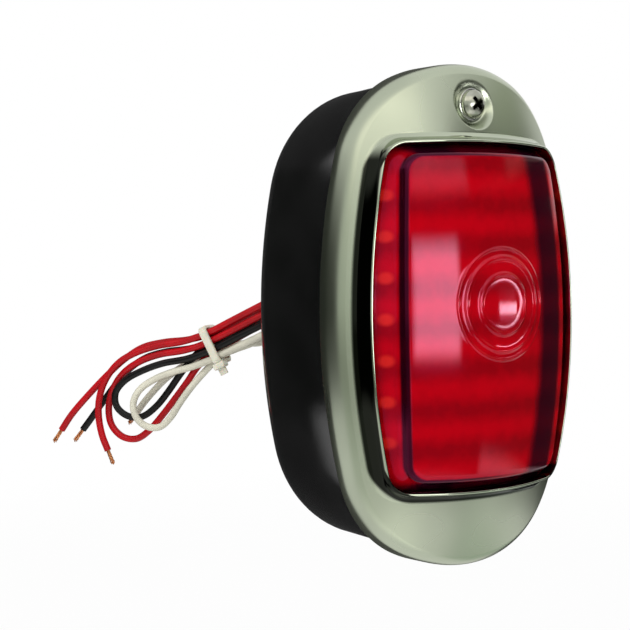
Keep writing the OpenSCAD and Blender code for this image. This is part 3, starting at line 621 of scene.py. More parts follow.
# Finishes: colour, or None where the settings have it; colour of the patches, or its share of the colour;
# roughness from and to; and what else differs from a plain finish
FINISHES = {
    "bezel_steel": (None, 0.9, (0, 0.06), dict(Metallic=1.0, patch=35.0, brush=0.05)),
    "housing_enamel": (None, (0.006, 0.006, 0.006), (0.10, 0.16), dict(
        patch=40.0, speck=300.0, bump=0.05, Coat_Weight=0.6, Coat_Roughness=0.05)),
    "black_rubber": ((0.020, 0.020, 0.021), (0.028, 0.028, 0.029), (0.55, 0.7), dict(
        speck=1400.0, bump=0.25)),
    "bright_steel": ((0.72, 0.72, 0.70), (0.60, 0.60, 0.58), (0.12, 0.25), dict(
        Metallic=1.0, patch=300.0, speck=2000.0, bump=0.08)),
    "screw_steel": ((0.46, 0.47, 0.40), (0.34, 0.35, 0.29), (0.14, 0.26), dict(
        Metallic=1.0, patch=300.0, speck=2000.0, bump=0.08)),
    "zinc_plate": ((0.66, 0.66, 0.62), (0.58, 0.57, 0.50), (0.25, 0.42), dict(
        Metallic=1.0, patch=180.0, speck=1500.0, bump=0.1)),
    "clip_steel": ((0.45, 0.45, 0.46), (0.36, 0.36, 0.38), (0.22, 0.4), dict(
        Metallic=1.0, patch=150.0, bump=0.1)),
    "board_mask": ((0.015, 0.16, 0.05), (0.02, 0.2, 0.07), (0.25, 0.4), dict(patch=120.0)),
    "led_epoxy": ((0.92, 0.62, 0.58), (0.85, 0.5, 0.46), (0.05, 0.12), dict(
        IOR=1.5, Transmission_Weight=0.5)),
    "resistor_lacquer": ((0.25, 0.45, 0.6), (0.2, 0.38, 0.52), (0.2, 0.35), {}),
    "diode_body": ((0.02, 0.02, 0.02), (0.03, 0.03, 0.03), (0.4, 0.5), {}),
    "capacitor_sleeve": ((0.02, 0.03, 0.12), (0.03, 0.04, 0.16), (0.2, 0.3), {}),
    "standoff_brass": ((0.70, 0.50, 0.20), (0.62, 0.42, 0.16), (0.2, 0.35), dict(Metallic=1.0, patch=200.0)),
    "wire_red": (None, 0.75, (0.28, 0.4), dict(patch=90.0, Specular_IOR_Level=0.25)),
    "wire_black": (None, (0.008, 0.008, 0.008), (0.3, 0.45), dict(patch=90.0, Specular_IOR_Level=0.25)),
    "wire_white": (None, 0.85, (0.35, 0.5), dict(patch=90.0)),
    "bare_copper": ((0.80, 0.36, 0.16), (0.62, 0.26, 0.11), (0.25, 0.4), dict(Metallic=1.0, patch=400.0)),
    "tie_nylon": ((0.72, 0.70, 0.58), (0.64, 0.62, 0.5), (0.35, 0.5), dict(
        patch=150.0, Subsurface_Weight=0.2, Subsurface_Scale=0.001)),
}


def finish(name):
    """The material of a finish, made when it is first asked for."""
    found = bpy.data.materials.get("look_" + name)
    if found:
        return found
    lamp, wires = bpy.context.scene.tail_lamp, bpy.context.scene.tail_lamp_wires
    chosen = {"bezel_steel": lamp.steel_color, "housing_enamel": lamp.paint_color,
              "wire_red": wires.red, "wire_black": wires.black, "wire_white": wires.white}
    color, second, rough, other = FINISHES[name]
    color = color or tuple(chosen[name])
    if isinstance(second, float):
        second = [c * second for c in color]
    if name == "bezel_steel":
        rough = [lamp.steel_rough + more for more in rough]
    made = principled("look_" + name, color, second, rough, **other)
    if name == "bezel_steel":
        blend_in(made, "Roughness", collar_polish_and_painted_reflection, "Polish", COLLAR_ROUGH)
        # Painted dark reflection: the colour on the collar's outer wall drops to a small share of itself
        blend_in(made, "Base Color", collar_polish_and_painted_reflection, "Painted Wall Reflection", (*[c * PAINTED_WALL_REFLECTION for c in color], 1))
    if name == "screw_steel":
        # Painted shade: the cross recess is darkened in colour
        blend_in(made, "Base Color", screw_recess, "Recess", (*RECESS_PAINTED_SHADE, 1))
    return made


def principled(name, color, second, rough, patch=60.0, speck=900.0, bump=0.0, brush=0.0, **plain):
    """A Principled material whose colour and roughness vary in patches, with specks or brushing."""
    made, tree, shader = new_material(name)
    for label, value in plain.items():
        shader.inputs[label.replace("_", " ")].default_value = value
    masks = add_node(tree, "Group", setup=lamp_speckle(), Patch_Scale=patch, Speck_Scale=speck).outputs
    patches = masks["Patches"]
    varied = {
        "Base Color": mix_color(tree, patches, (*color, 1), (*second, 1)),
        "Roughness": add_node(tree, "MapRange", "Result", Value=patches, To_Min=rough[0], To_Max=rough[1]),
    }
    if bump or brush:
        height = add_node(tree, "Group", "Height", lamp_brush()) if brush else masks["Specks"]
        varied["Normal"] = add_node(tree, "Bump", "Normal", Distance=RELIEF_DEPTH, Strength=bump or brush,
                                    Height=height)
    for label, value in varied.items():
        feed(tree, shader.inputs[label], value)
    return made


def blend_in(made, label, group, mask, value):
    """Blends a value into an input of a material's shader where a group's mask is 1."""
    tree = made.node_tree
    socket = tree.nodes["Principled BSDF"].inputs[label]
    share = add_node(tree, "Group", mask, group())
    kind = "RGBA" if label == "Base Color" else "FLOAT"
    before = socket.links[0].from_socket
    feed(tree, socket, add_node(tree, "Mix", "Result", {"data_type": kind}, Factor=share, A=before, B=value))


def lens_finish():
    """Red plastic with painted shade in rows, at its edge, ends, foot and depths, painted glow spots, and a
    clear coat on its face.
    """
    made, tree, shader = new_material("look_lens_red")
    color = (*bpy.context.scene.tail_lamp.lens_color, 1)
    masks = add_node(tree, "Group", setup=lens_painted_light_and_coat()).outputs
    away = step_node(tree, add_node(tree, "LayerWeight", "Facing", Blend=0.5), 0.34, 0.48)
    near = minus(tree, 1.0, away)
    # Colour of the painted shade in the rows
    rows = [c * 0.6 for c in color[:3]]
    for mask, value, strength, side in (
        ("Band", rows, 1.0, None),
        # Colour of the painted glow spots
        ("Spot", (1.0, 0.03, 0.02), 0.85, None),
        # Painted shade on the edge, where it faces the view
        ("Corner", (0.006, 0.0005, 0.005), 0.97, near),
        # Painted shade in the strip, where the face turns away from the view
        ("Deep", (0.012, 0.0, 0.008), 0.93, away),
        # Colour of the painted shade on the foot
        ("Foot", (0.02, 0.0, 0.005), 0.8, None),
        # Colour of the painted shade at the ends
        ("Ends", (0.02, 0.0, 0.008), 0.88, None),
    ):
        share = times(tree, masks[mask], strength)
        if side:
            share = times(tree, share, side)
        color = mix_color(tree, share, color, (*value, 1))
    for label, value in {
        "Base Color": color,
        "Roughness": add_node(tree, "MapRange", "Result", Value=masks["Band"], To_Min=0.05, To_Max=0.12),
        "IOR": 1.52,
        "Transmission Weight": 0.45,
        "Specular Tint": (1.0, 0.12, 0.4, 1),
        "Coat Weight": times(tree, masks["Face"], 0.25),
        "Coat Roughness": 0.03,
        "Coat IOR": 1.6,
    }.items():
        feed(tree, shader.inputs[label], value)
    return made


# Bezel, lens and housing

def rounding(shape, inset, above, r, steps):
    """Rings up a round edge on the dome, from a wall at an inset to a top at a height."""
    return [dome_ring(outline(shape, inset + r * (1 - math.cos(t))), above - r * (1 - math.sin(t)))
            for t in sweep(0, 90, steps)]


def bezel_rings():
    """Rings of the bezel from its rear edge over the dome and collar and back inside."""
    hem_r = SHEET / 2
    base = outline(BEZEL_SHAPE, EDGE_R)
    foot = outline(COLLAR_SHAPE, -COLLAR_FLARE - FILLET_W)
    lip = outline(COLLAR_SHAPE, SHEET)
    top = COLLAR_RISE - hem_r
    rings = [flat_ring(outline(BEZEL_SHAPE, hem_r * (1 + math.cos(t))), hem_r * (1 - math.sin(t)))
             for t in sweep(0, 180, 7)]
    rings += rounding(BEZEL_SHAPE, 0, 0, EDGE_R, 14)
    rings += [dome_ring(lerp(base, foot, s), 0) for s in np.linspace(0, 1, 16)[1:]]
    for t in sweep(0, 90, 12)[1:]:
        fillet = outline(COLLAR_SHAPE, -COLLAR_FLARE - FILLET_W * (1 - math.sin(t)))
        rings.append(dome_ring(fillet, FILLET_H * (1 - math.cos(t))))
    rings.append(dome_ring(outline(COLLAR_SHAPE, -COLLAR_FLARE / 2), (FILLET_H + top) / 2))
    rings += [dome_ring(outline(COLLAR_SHAPE, hem_r * (1 + math.cos(t))), top + hem_r * math.sin(t))
              for t in sweep(180, 0, 9)]
    rings += [dome_ring(lip, above) for above in (1.0, -SHEET)]
    rings += [dome_ring(lerp(base, lip, s), -SHEET) for s in np.linspace(1, 0, 8)[1:-1]]
    return rings + rounding(BEZEL_SHAPE, SHEET, -SHEET, EDGE_R - SHEET, 8)[::-1]


def dimple_rings():
    """Rings of the pressed dimple, from the dome down to its floor and back under the sheet."""
    width = DIMPLE_OUT_R - DIMPLE_IN_R

    def pressed(r, below):
        """The dimple's surface at a radius: flat inside, an S-shaped wall, then the dome."""
        points = np.array([0, SCREW_Z]) + r * circle(TURN_STEPS)
        t = min(max((r - DIMPLE_IN_R) / width, 0), 1)
        return flat_ring(points, lerp(DIMPLE_FLOOR, dome(points), t * t * (3 - 2 * t)) - below)

    wall = lerp(DIMPLE_OUT_R, DIMPLE_IN_R, np.linspace(0, 1, 15))
    radii = [DIMPLE_LAP_R, *wall, DIMPLE_HOLE_R]
    return [pressed(r, -DIMPLE_PROUD) for r in radii] + [pressed(r, SHEET) for r in radii[::-1]]


def true_dome_normals(obj):
    """Gives faces on the dome the dome's own normals, so that the cut for the dimple doesn't show."""
    mesh = obj.data
    places_mm = np.array([vertex.co for vertex in mesh.vertices]) / MM
    flags = np.abs(RIM_Y - places_mm[:, 1] - dome(places_mm[:, [0, 2]])) < ON_DOME
    normals = [n.vector.copy() for n in mesh.corner_normals]
    for face in mesh.polygons:
        if all(flags[v] for v in face.vertices):
            for loop in face.loop_indices:
                x, _, z = places_mm[mesh.loops[loop].vertex_index]
                normals[loop] = Vector((x / DOME_SIDE_R, -1, z / DOME_LONG_R)).normalized()
    mesh.normals_split_custom_set(normals)


class LAMP_OT_bezel(bpy.types.Operator):
    """Builds the pressed bezel with its collar and its dimple"""

    bl_idname = "lamp.bezel"
    bl_label = "Bezel"

    def execute(self, context):
        shell = closed_shell("bezel_shell", bezel_rings())
        cut(shell, lathe("dimple_cut", [(DIMPLE_CUT_R, RIM_Y - 30), (DIMPLE_CUT_R, RIM_Y - 8)], SCREW_Z))
        true_dome_normals(shell)
        place(shell, "front", finish("bezel_steel"), "bezel_steel", "bezel")
        cup = closed_shell("bezel_dimple", dimple_rings())
        place(cup, "front", finish("bezel_steel"), "bezel_steel")
        return {"FINISHED"}


def lens_rings():
    """Rings of the lens from its inner middle over the flange to its outer middle, and both middles."""
    face = outline(LENS_SHAPE)
    spokes = (face - RINGS_C) / np.linalg.norm(face - RINGS_C, axis=1)[:, None]
    round_rings = RINGS_C + spokes * RINGS_R
    flange_front = -SHEET - GASKET_T
    flange_back = flange_front - FLANGE_T
    base_in = SHEET + LENS_GAP
    flange_in = base_in - FLANGE_W
    under = LENS_PROUD - LENS_WALL

    def spoke_ring(r, above):
        """A ring at a radius round the middle of the bull's-eye."""
        return dome_ring(RINGS_C + spokes * r, above)

    rings = [spoke_ring(r, under) for r in np.linspace(1.5, RINGS_R, 12)]
    inner = outline(LENS_SHAPE, LENS_WALL + LENS_EDGE_R)
    for s in np.linspace(0, 1, 26)[1:]:
        ring = dome_ring(lerp(round_rings, inner, s), under)
        depth = FLUTE_DEPTH * min(1, 4 * s, 4 * (1 - s))
        ring[:, 1] += depth * np.cos(2 * math.pi * ring[:, 2] / FLUTE_PITCH)
        rings.append(ring)
    rings += rounding(LENS_SHAPE, LENS_WALL, under, LENS_EDGE_R, 5)[-2::-1]
    for inset, above in (
        (base_in + LENS_WALL, flange_front + 1),
        (base_in + LENS_WALL, flange_back),
        (flange_in + FLANGE_EDGE, flange_back),
        (flange_in, flange_back + FLANGE_EDGE),
        (flange_in, flange_front - FLANGE_EDGE),
        (flange_in + FLANGE_EDGE, flange_front),
        (base_in, flange_front),
        (base_in, 0),
    ):
        rings.append(dome_ring(outline(COLLAR_SHAPE, inset), above))
    base = outline(COLLAR_SHAPE, base_in)
    rings += [dome_ring(lerp(base, face, s), (LENS_PROUD - LENS_EDGE_R) * s) for s in (0.33, 0.66)]
    rings += rounding(LENS_SHAPE, 0, LENS_PROUD, LENS_EDGE_R, 7)
    edge = outline(LENS_SHAPE, LENS_EDGE_R)
    rings += [dome_ring(lerp(round_rings, edge, s), LENS_PROUD) for s in np.linspace(1, 0, 26)[1:]]
    for r, half, height in BULLS_EYE:
        for t in np.linspace(1, -1, 11):
            rings.append(spoke_ring(r + half * t, LENS_PROUD + height * (0.5 + 0.5 * math.cos(math.pi * t))))
    rings += [spoke_ring(r, LENS_PROUD) for r in (6.5, 5.0, 3.5, 2.0)]
    dome_y = RIM_Y - float(dome(RINGS_C))
    return rings, [(RINGS_C[0], dome_y - above, RINGS_C[1]) for above in (under, LENS_PROUD)]


class LAMP_OT_lens(bpy.types.Operator):
    """Builds the moulded lens with its bull's-eye rings and inner flutes"""

    bl_idname = "lamp.lens"
    bl_label = "Lens"

    def execute(self, context):
        lens = capped_shell("lens_moulding", *lens_rings(), sharp=50)
        place(lens, "front", lens_finish(), "lens_red", "lens")
        return {"FINISHED"}


class LAMP_OT_housing(bpy.types.Operator):
    """Builds the deep enamelled housing"""

    bl_idname = "lamp.housing"
    bl_label = "Housing"

    def execute(self, context):
        front = SKIRT_LAP - HOUSING_WALL
        rings = self.back_rings(0, HOUSING_BACK_R, sweep(90, 0, 16))
        for inset, height in ((0.2, front + 0.2), (0.45, front + 0.75), (1, SKIRT_LAP), (4, SKIRT_LAP),
                              (4, front), (HOUSING_WALL + 0.2, front)):
            rings.append(flat_ring(outline(BEZEL_SHAPE, HOUSING_INSET + inset), height))
        rings += self.back_rings(HOUSING_WALL, HOUSING_BACK_R - HOUSING_WALL, sweep(0, 90, 10))
        shell = capped_shell("housing_can", rings)
        for r, z in ((STUD_HOLE_R, STUD_PITCH / 2), (STUD_HOLE_R, -STUD_PITCH / 2),
                     (GROMMET_HOLE_R, GROMMET_Z)):
            cut(shell, lathe("hole", [(r, -20), (r, 2)], z))
        place(shell, "base", finish("housing_enamel"), "housing_black", "housing")
        dress("housing_enamel", "screw_bracket", "hinge_bracket")
        return {"FINISHED"}

    def back_rings(self, wall, r, angles):
        """Rings round the back's rounded edge, at a wall's depth inside."""
        w, h, side_r, _, end_r = BEZEL_SHAPE
        narrower = 2 * (HOUSING_INSET + HOUSING_TAPER)
        back = (w - narrower, h - narrower, side_r, HOUSING_CORNER_R, end_r)
        low = wall - HOUSING_DEPTH
        return [flat_ring(outline(back, wall + r * (1 - math.cos(t))), low + r * (1 - math.sin(t)))
                for t in angles]


# Fixings and board

class LAMP_OT_fixings(bpy.types.Operator):
    """Finishes the screw, the washer, the hinge, the clips and the seals"""

    bl_idname = "lamp.fixings"
    bl_label = "Screw, hinge and seals"

    def execute(self, context):
        dress("bright_steel", "screw_washer")
        back_y = RIM_Y - HEAD_BACK
        place(self.head(back_y), "screw", finish("screw_steel"), "screw_steel", "bezel_screw")
        place(self.thread(back_y), "screw", finish("screw_steel"), "screw_steel")
        dress("zinc_plate", "screw_nut", "board_bracket", "mount_studs", "board_screws")
        dress("clip_steel", "lens_clips")
        dress("bezel_steel", "bezel_tongue")
        dress("black_rubber", "lens_gasket", "rim_seal", "mount_pad", "wire_grommet")
        return {"FINISHED"}

    def head(self, back_y):
        """The oval head with its cross recess."""
        top_y = back_y - HEAD_H
        neck_r = SCREW_D / 2 - 0.3
        rim = np.array([HEAD_R - HEAD_RIM_R, back_y - HEAD_RIM_R])
        profile = [(neck_r, back_y - 0.2), (neck_r, back_y), (rim[0], back_y)]
        profile += [tuple(rim + HEAD_RIM_R * unit(t)) for t in sweep(90, 0, 5)]
        crown_a = math.degrees(math.asin((HEAD_R - 0.2) / CROWN_R))
        profile += [(CROWN_R * math.sin(t), top_y + CROWN_R * (1 - math.cos(t)))
                    for t in sweep(crown_a, 2, 18)]
        head = lathe("bezel_screw_head", profile, SCREW_Z, steps=72)
        cross = []
        for along, half, depth in CROSS_RECESS:
            arm = np.array([(half, along), (half, half), (along, half)])
            arms = [np.stack([arm @ (c, -s), arm @ (s, c)], axis=1)
                    for c, s in unit(np.radians(RECESS_TURN - np.arange(0, 360, 90)))]
            cross.append(flat_ring(np.concatenate(arms) + (0, SCREW_Z), RIM_Y - top_y - depth))
        cut(head, capped_shell("cross_cut", cross))
        smooth(head.data, 35)
        return head

    def thread(self, start_y):
        """A shank with a real helical thread."""
        around, steps_a_turn = 32, 8
        turns = np.arange(around) / around
        rings = []
        for t in np.arange(0, SCREW_L, THREAD_PITCH / steps_a_turn):
            phase = (t / THREAD_PITCH - turns) % 1
            groove = THREAD_DEPTH * np.abs(2 * phase - 1) * min(max(t - THREAD_START, 0), 1)
            r = np.minimum(SCREW_D / 2 - groove, SCREW_D / 2 - SCREW_TIP + max(SCREW_L - t, 0))
            ring = circle(around) * (1, -1) * r[:, None] + (0, SCREW_Z)
            rings.append(flat_ring(ring, RIM_Y - start_y - t))
        return capped_shell("bezel_screw_shank", rings[::-1], sharp=30)


class LAMP_OT_board(bpy.types.Operator):
    """Finishes the diode board and its components"""

    bl_idname = "lamp.board"
    bl_label = "Diode board"

    def execute(self, context):
        dress("board_mask", "circuit_board")
        dress("led_epoxy", "leds")
        dress("resistor_lacquer", "resistors")
        dress("diode_body", "rectifier_diodes")
        dress("capacitor_sleeve", "capacitor")
        dress("standoff_brass", "board_standoffs")
        return {"FINISHED"}


# Wires: places on the bundle are (s along the run, w across it, z up), in millimetres

RUN_TURN = math.radians(35)
RUN_START = 8
RUN_FALL = math.radians(26.5)
TIE_C = (56.3, 0, -12)
STRAND_PITCH = 3.2
FOLD_R = 6
TIE_HALF = (STRAND_PITCH + WIRE_D / 2 + 0.5, 1.5 * STRAND_PITCH + WIRE_D / 2 + 0.5)


def on_run(p):
    """A place on the bundle in the lamp's own frame."""
    s = p[0] - RUN_START
    return (
        -s * math.sin(RUN_TURN) + p[1] * math.cos(RUN_TURN),
        RUN_START + s * math.cos(RUN_TURN) + p[1] * math.sin(RUN_TURN),
        p[2],
    )


def slot_at(row, column):
    """The place of one strand inside the tie."""
    return (
        TIE_C[0] + STRAND_PITCH * row * math.sin(RUN_FALL),
        TIE_C[1] + STRAND_PITCH * column,
        TIE_C[2] + STRAND_PITCH * row * math.cos(RUN_FALL),
    )


def fold(c, tilt):
    """Half a turn where a wire doubles back on the lamp's side of the tie; its tilt is in degrees."""
    tilt = math.radians(tilt)
    along = np.array([-math.cos(RUN_FALL), 0, math.sin(RUN_FALL)])
    up = math.sin(tilt)
    across = np.array([up * math.sin(RUN_FALL), math.cos(tilt), up * math.cos(RUN_FALL)])
    return [tuple(np.array(c) + FOLD_R * (math.sin(a) * along - math.cos(a) * across))
            for a in sweep(0, 180, 5)]


RED_1 = [
    (20, 1, 7), (27.5, -1, 3.6), (37, -3.2, -1.2),
    slot_at(0.5, -1),
    (67, -3.2, -13.8), (77.5, -3.2, -15.5), (86, -3.2, -18.4), (93, -2.2, -22.8), (98, -0.6, -28.8),
    (100.3, 0, -35.8), (99.4, 0, -42.4), (95, 0, -47), (89, 0, -47.8), (83.5, 0, -44.4), (78, 0, -38.6),
    (73, 0, -32.6), (68, 0, -26.4), (62.8, 0, -19.6),
    slot_at(-0.5, 0),
    (48, 0, -9.8), (41, 0, -6.2),
    *fold((34.4, 5.1, 0.4), 32),
    (44, 8.4, -0.2), (51, 5.6, -4),
    slot_at(1.5, 1),
    (68, 3.2, -10.2), (78, 3.2, -11.2), (87, 3.2, -13.2), (94.5, 2.9, -17.6), (101.5, 2.2, -23.6),
    (109, 1.4, -31), (116, 0.6, -38.6), (120.5, 0, -45),
]
RED_2 = [
    (20, -2, 8), (28, -2.8, 6.6), (37.5, -3.2, 2.2), (48, -3.2, -2.8),
    slot_at(1.5, -1),
    (68, -3.2, -10.6), (78, -3.2, -12.2), (87, -3.2, -14.8), (94.4, -3.2, -18.8), (99.8, -3.2, -25),
    (102.6, -3.2, -32), (103, -3.4, -39), (101.6, -3.8, -46), (99, -4.2, -52),
]
BLACK = [
    (20, -2, 4), (28, -3.2, 0.2), (36.2, -3.2, -4.4), (46, -3.2, -8.9),
    slot_at(-0.5, -1),
    (66, -3.2, -17), (76, -3.2, -18.8), (84.5, -3.2, -21.6), (91.5, -3.4, -25.2), (95.6, -3.6, -30),
    (95.4, -3.2, -35.4), (91.4, -2, -39), (86, -0.8, -39.2), (80.6, 0, -35.4), (75.6, 0, -29.8),
    (70.4, 0, -23), (64.5, 0, -16.2),
    slot_at(0.5, 0),
    (50.5, 0, -7.4),
    *fold((44.4, 6, -4.2), 0),
    (50.5, 6.6, -7.4),
    slot_at(0.5, 1),
    (67.4, 3.8, -13.5), (77.5, 3.2, -14.8), (86, 3.2, -17.2), (93, 3.2, -21.6), (98.5, 3.2, -27.2),
    (104, 3, -34), (109, 2.6, -40.5), (112.5, 2.2, -45),
]
WHITE = [
    (20, 1, 2.4), (27.5, -1, -2.3), (35.2, -3.2, -7.6), (44.8, -3.2, -12),
    slot_at(-1.5, -1),
    (63.6, -3.2, -19.8), (72, -3.2, -22), (79, -3.6, -24.6), (84.8, -4.6, -28.4), (87.4, -5.6, -33.4),
    (86.4, -6, -38.6), (82.4, -6, -42.2), (77, -5.4, -42.6), (72.8, -4.6, -39), (69.4, -3.8, -33.8),
    (65.6, -2.6, -28.4), (61, -0.9, -22.8),
    slot_at(-1.5, 0),
    (48.5, 0, -13.8),
    *fold((42.6, 6, -11.8), 0),
    (48.5, 6.8, -12),
    slot_at(-0.5, 1),
    (64, 3.8, -17.2), (71.5, 3.2, -20.8), (77.5, 3.2, -24.8), (82.5, 3.2, -29.4), (87, 3.2, -34.2),
    (90, 3.2, -38),
]

# Wires: node, colour, the side and the height of its hole in the grommet, and its places on the bundle
WIRES = (
    ("red_wire_1", "red", 1, 1, RED_1),
    ("red_wire_2", "red", -1, 1, RED_2),
    ("black_wire", "black", -1, -1, BLACK),
    ("white_wire", "white", 1, -1, WHITE),
)


def route(x, z, points):
    """All points of a wire, from its hole in the grommet."""
    start = [(x * LEAD_PITCH / 2, y, GROMMET_Z + z * LEAD_PITCH / 2) for y in (EXIT_Y, 2.5, 8)]
    return np.array(start + [on_run(p) for p in points], float)


def curve_points(p, steps):
    """A smooth curve through the points, with a number of steps between each two."""
    padded = np.concatenate([[2 * p[0] - p[1]], p, [2 * p[-1] - p[-2]]])
    out = []
    for i in range(1, len(padded) - 2):
        a, b, c, d = padded[i - 1:i + 3]
        for t in np.arange(steps) / steps:
            out.append(b + t * (c - a) / 2 + t ** 2 * (2 * a - 5 * b + 4 * c - d) / 2
                       + t ** 3 * (3 * b - 3 * c + d - a) / 2)
    return np.array([*out, p[-1]])


def wire_curve(name, path):
    """A round insulated wire along a path, as a curve of one open spline."""
    data = bpy.data.curves.new(name, "CURVE")
    data.dimensions = "3D"
    data.bevel_depth = WIRE_D / 2 * MM
    data.bevel_resolution = 4
    data.use_fill_caps = True
    spline = data.splines.new("POLY")
    spline.points.add(len(path) - 1)
    for point, place_mm in zip(spline.points, path):
        point.co = (*(place_mm * MM), 1)
    spline.use_smooth = True
    return link_object(name, data)


def copper_strands(name, path, strands):
    """Twisted bare strands that go on from the end of a wire."""
    run = (path[-1] - path[-3]) / np.linalg.norm(path[-1] - path[-3])
    side = np.cross(run, [0, 0, 1.0])
    side /= np.linalg.norm(side)
    axes = np.array([side, np.cross(side, run)])
    steps, sides = 14, 8
    rings, faces = [], []
    for k in range(strands):
        first, last = len(rings), len(rings) + steps
        phase = 2 * math.pi * k / (strands - 1)
        length = BARE_L * (1 - STRAND_UNEVEN * (k % 3))
        for t in np.linspace(0, 1, steps + 1):
            off = (STRAND_TWIST_R if k else 0) * (1 + STRAND_FLARE * t * t)
            twist = off * unit(phase + 2 * math.pi * STRAND_TURNS * t)
            centre = path[-1] + run * (length * t - STRAND_BURIED)
            rings.append(centre + (twist + STRAND_R * circle(sides)) @ axes)
        faces += ring_faces(sides, [(i, i + 1) for i in range(first, last)])
        faces.append(tuple(first * sides + j for j in reversed(range(sides))))
        faces.append(tuple(last * sides + j for j in range(sides)))
    return mesh_object(name, np.concatenate(rings), faces, sharp=60)


def in_tie(points):
    """Turns points from the tie's own axes to the lamp's frame, in millimetres."""
    turn = Matrix.Rotation(RUN_TURN, 3, "Z") @ Matrix.Rotation(-RUN_FALL, 3, "X")
    return np.array([turn @ Vector(p) + Vector(on_run(TIE_C)) for p in points])


def tie_band():
    """Rings of the tie's band round the wires, which follow a rounded rectangle."""
    corners = []
    for x, z, start in ((1, 1, 0), (-1, 1, 90), (-1, -1, 180), (1, -1, 270)):
        centre = np.array([x, z]) * (np.array(TIE_HALF) - TIE_CORNER_R)
        corners += [(*centre, *spoke) for spoke in unit(sweep(start, start + 90, 7))]
    half, low_r, high_r = TIE_W / 2, TIE_CORNER_R, TIE_CORNER_R + TIE_T
    section = ((low_r, -half), (high_r - TIE_SOFT, -half), (high_r, -half + TIE_SOFT),
               (high_r, half - TIE_SOFT), (high_r - TIE_SOFT, half), (low_r, half))
    return [in_tie([(x + r * c, y, z + r * s) for x, z, c, s in corners[::-1]]) for r, y in section]


def soft_box(name, low, high, bevel):
    """A box with rounded edges between two corners in the tie's own axes."""
    corners = [(x, y, z) for z in (low[2], high[2]) for y in (low[1], high[1]) for x in (low[0], high[0])]
    faces = [(0, 2, 3, 1), (4, 5, 7, 6), (0, 1, 5, 4), (2, 6, 7, 3), (0, 4, 6, 2), (1, 3, 7, 5)]
    obj = mesh_object(name, in_tie(corners), faces)
    rounded = obj.modifiers.new("rounded", "BEVEL")
    rounded.width = bevel * MM
    rounded.segments = 4
    apply_modifiers(obj)
    smooth(obj.data, 50)
    return obj


class LAMP_OT_wires(bpy.types.Operator):
    """Lays the four wires, their bare ends and the cable tie"""

    bl_idname = "lamp.wires"
    bl_label = "Wires and tie"

    def execute(self, context):
        strands = context.scene.tail_lamp_wires.strands
        for node, color, x, z, points in WIRES:
            path = curve_points(route(x, z, points), 8)
            wire = wire_curve(node + "_insulation", path)
            place(wire, "base", finish("wire_" + color), "wire_" + color, node)
            bare = copper_strands(node + "_copper", path, strands)
            place(bare, "base", finish("bare_copper"), "wire_copper", "wire_ends")
        self.tie(finish("tie_nylon"))
        dress("wire_red", "inner_leads")
        return {"FINISHED"}

    def tie(self, nylon):
        """The tie's band, its head below the bundle and its cut tail."""
        place(closed_shell("cable_tie_band", tie_band(), sharp=50), "base", nylon, "tie_nylon", "cable_tie")
        inside = -TIE_HALF[0]
        left, low = inside - TIE_T, -TIE_HALF[1] - TIE_T
        foot = low - TIE_HEAD_H / 2
        for name, (x0, x1), width, (z0, z1), bevel in (
            ("cable_tie_head", (left, left + TIE_HEAD_H + 1), TIE_HEAD_W, (foot, low + TIE_T / 2), 0.5),
            ("cable_tie_tail", (inside + 0.6, inside + 1.7), TIE_W, (foot - 2.5, foot + 1), 0.2),
        ):
            box = soft_box(name, (x0, -width / 2, z0), (x1, width / 2, z1), bevel)
            place(box, "base", nylon, "tie_nylon")


# Studio: a card has its azimuths and elevations round the lamp in degrees, its distance in metres,
# its colour and glow, and the width of its soft edges in degrees

WHITE_CARD = (1, 1, 1)
DARK_CARD = (0.02, 0.022, 0.02)
CARDS = {
    "front_softbox": ((-10, 16.5), (-10, 12), 0.8, WHITE_CARD, 7.0, 4),
    "spot_strip": ((38, 51), (-2.0, 0.2), 0.8, WHITE_CARD, 14.0, 0.8),
    "front_flag": ((-14, 34), (-28, 19), 1.2, DARK_CARD, 1.0, 4),
    "right_flag": ((26, 90), (-23, 18), 1.3, DARK_CARD, 1.0, 4),
    "edge_flag": ((84, 104), (-22, 8), 1.25, DARK_CARD, 1.0, 3),
    "shade_flag": ((22, 56), (12, 29), 1.35, DARK_CARD, 1.0, 6),
    "low_right_wall": ((30, 100), (-60, -27), 1.4, (0.60, 0.68, 0.60), 1.0, 5),
    "low_left_wall": ((-60, 12), (-60, -26), 1.4, (1.0, 1.0, 0.96), 1.35, 6),
    "dome_flag": ((24, 88), (6, 29), 1.4, (0.40, 0.44, 0.34), 1.0, 4),
    "far_flag": ((98, 155), (-40, 9), 1.3, DARK_CARD, 1.0, 4),
    "left_flag": ((-165, -68), (-20, 26), 1.1, DARK_CARD, 1.0, 5),
    "back_flag": ((128, 232), (-60, 60), 1.2, (0.05, 0.05, 0.05), 1.0, 10),
    "key_card": ((-60, 14), (18, 50), 1.3, (1.0, 0.96, 0.90), 2.0, 10),
    "front_left_wall": ((-70, -16), (-45, 30), 1.4, (0.70, 0.74, 0.68), 1.0, 6),
    "left_bar": ((-75, -20), (-20, -1), 1.3, (0.22, 0.24, 0.20), 1.0, 4),
}
CARD_TURNS = 25
CARD_TILTS = 13

# Lamps: azimuth, elevation and distance, size in metres, and share of the power that the settings have
LAMPS = {"top_lamp": ((-20, 62, 1.3), (0.9, 0.9), 1.5), "left_lamp": ((-75, 25, 1.4), (0.7, 0.9), 1.0)}

# Places in metres
STAGE_C = Vector((0, RIM_Y * MM, 0))
CAMERA_C = (-0.35833, -0.45887, 0.01886)
FLOOR_HALF = 8.0
FLOOR_DROP = 0.08


def around(azimuth, elevation, distance):
    """A place off the middle of the stage; azimuth turns from the lamp's front to its side on +X."""
    a, e = math.radians(azimuth), math.radians(elevation)
    return distance * Vector((math.sin(a) * math.cos(e), -math.cos(a) * math.cos(e), math.sin(e)))


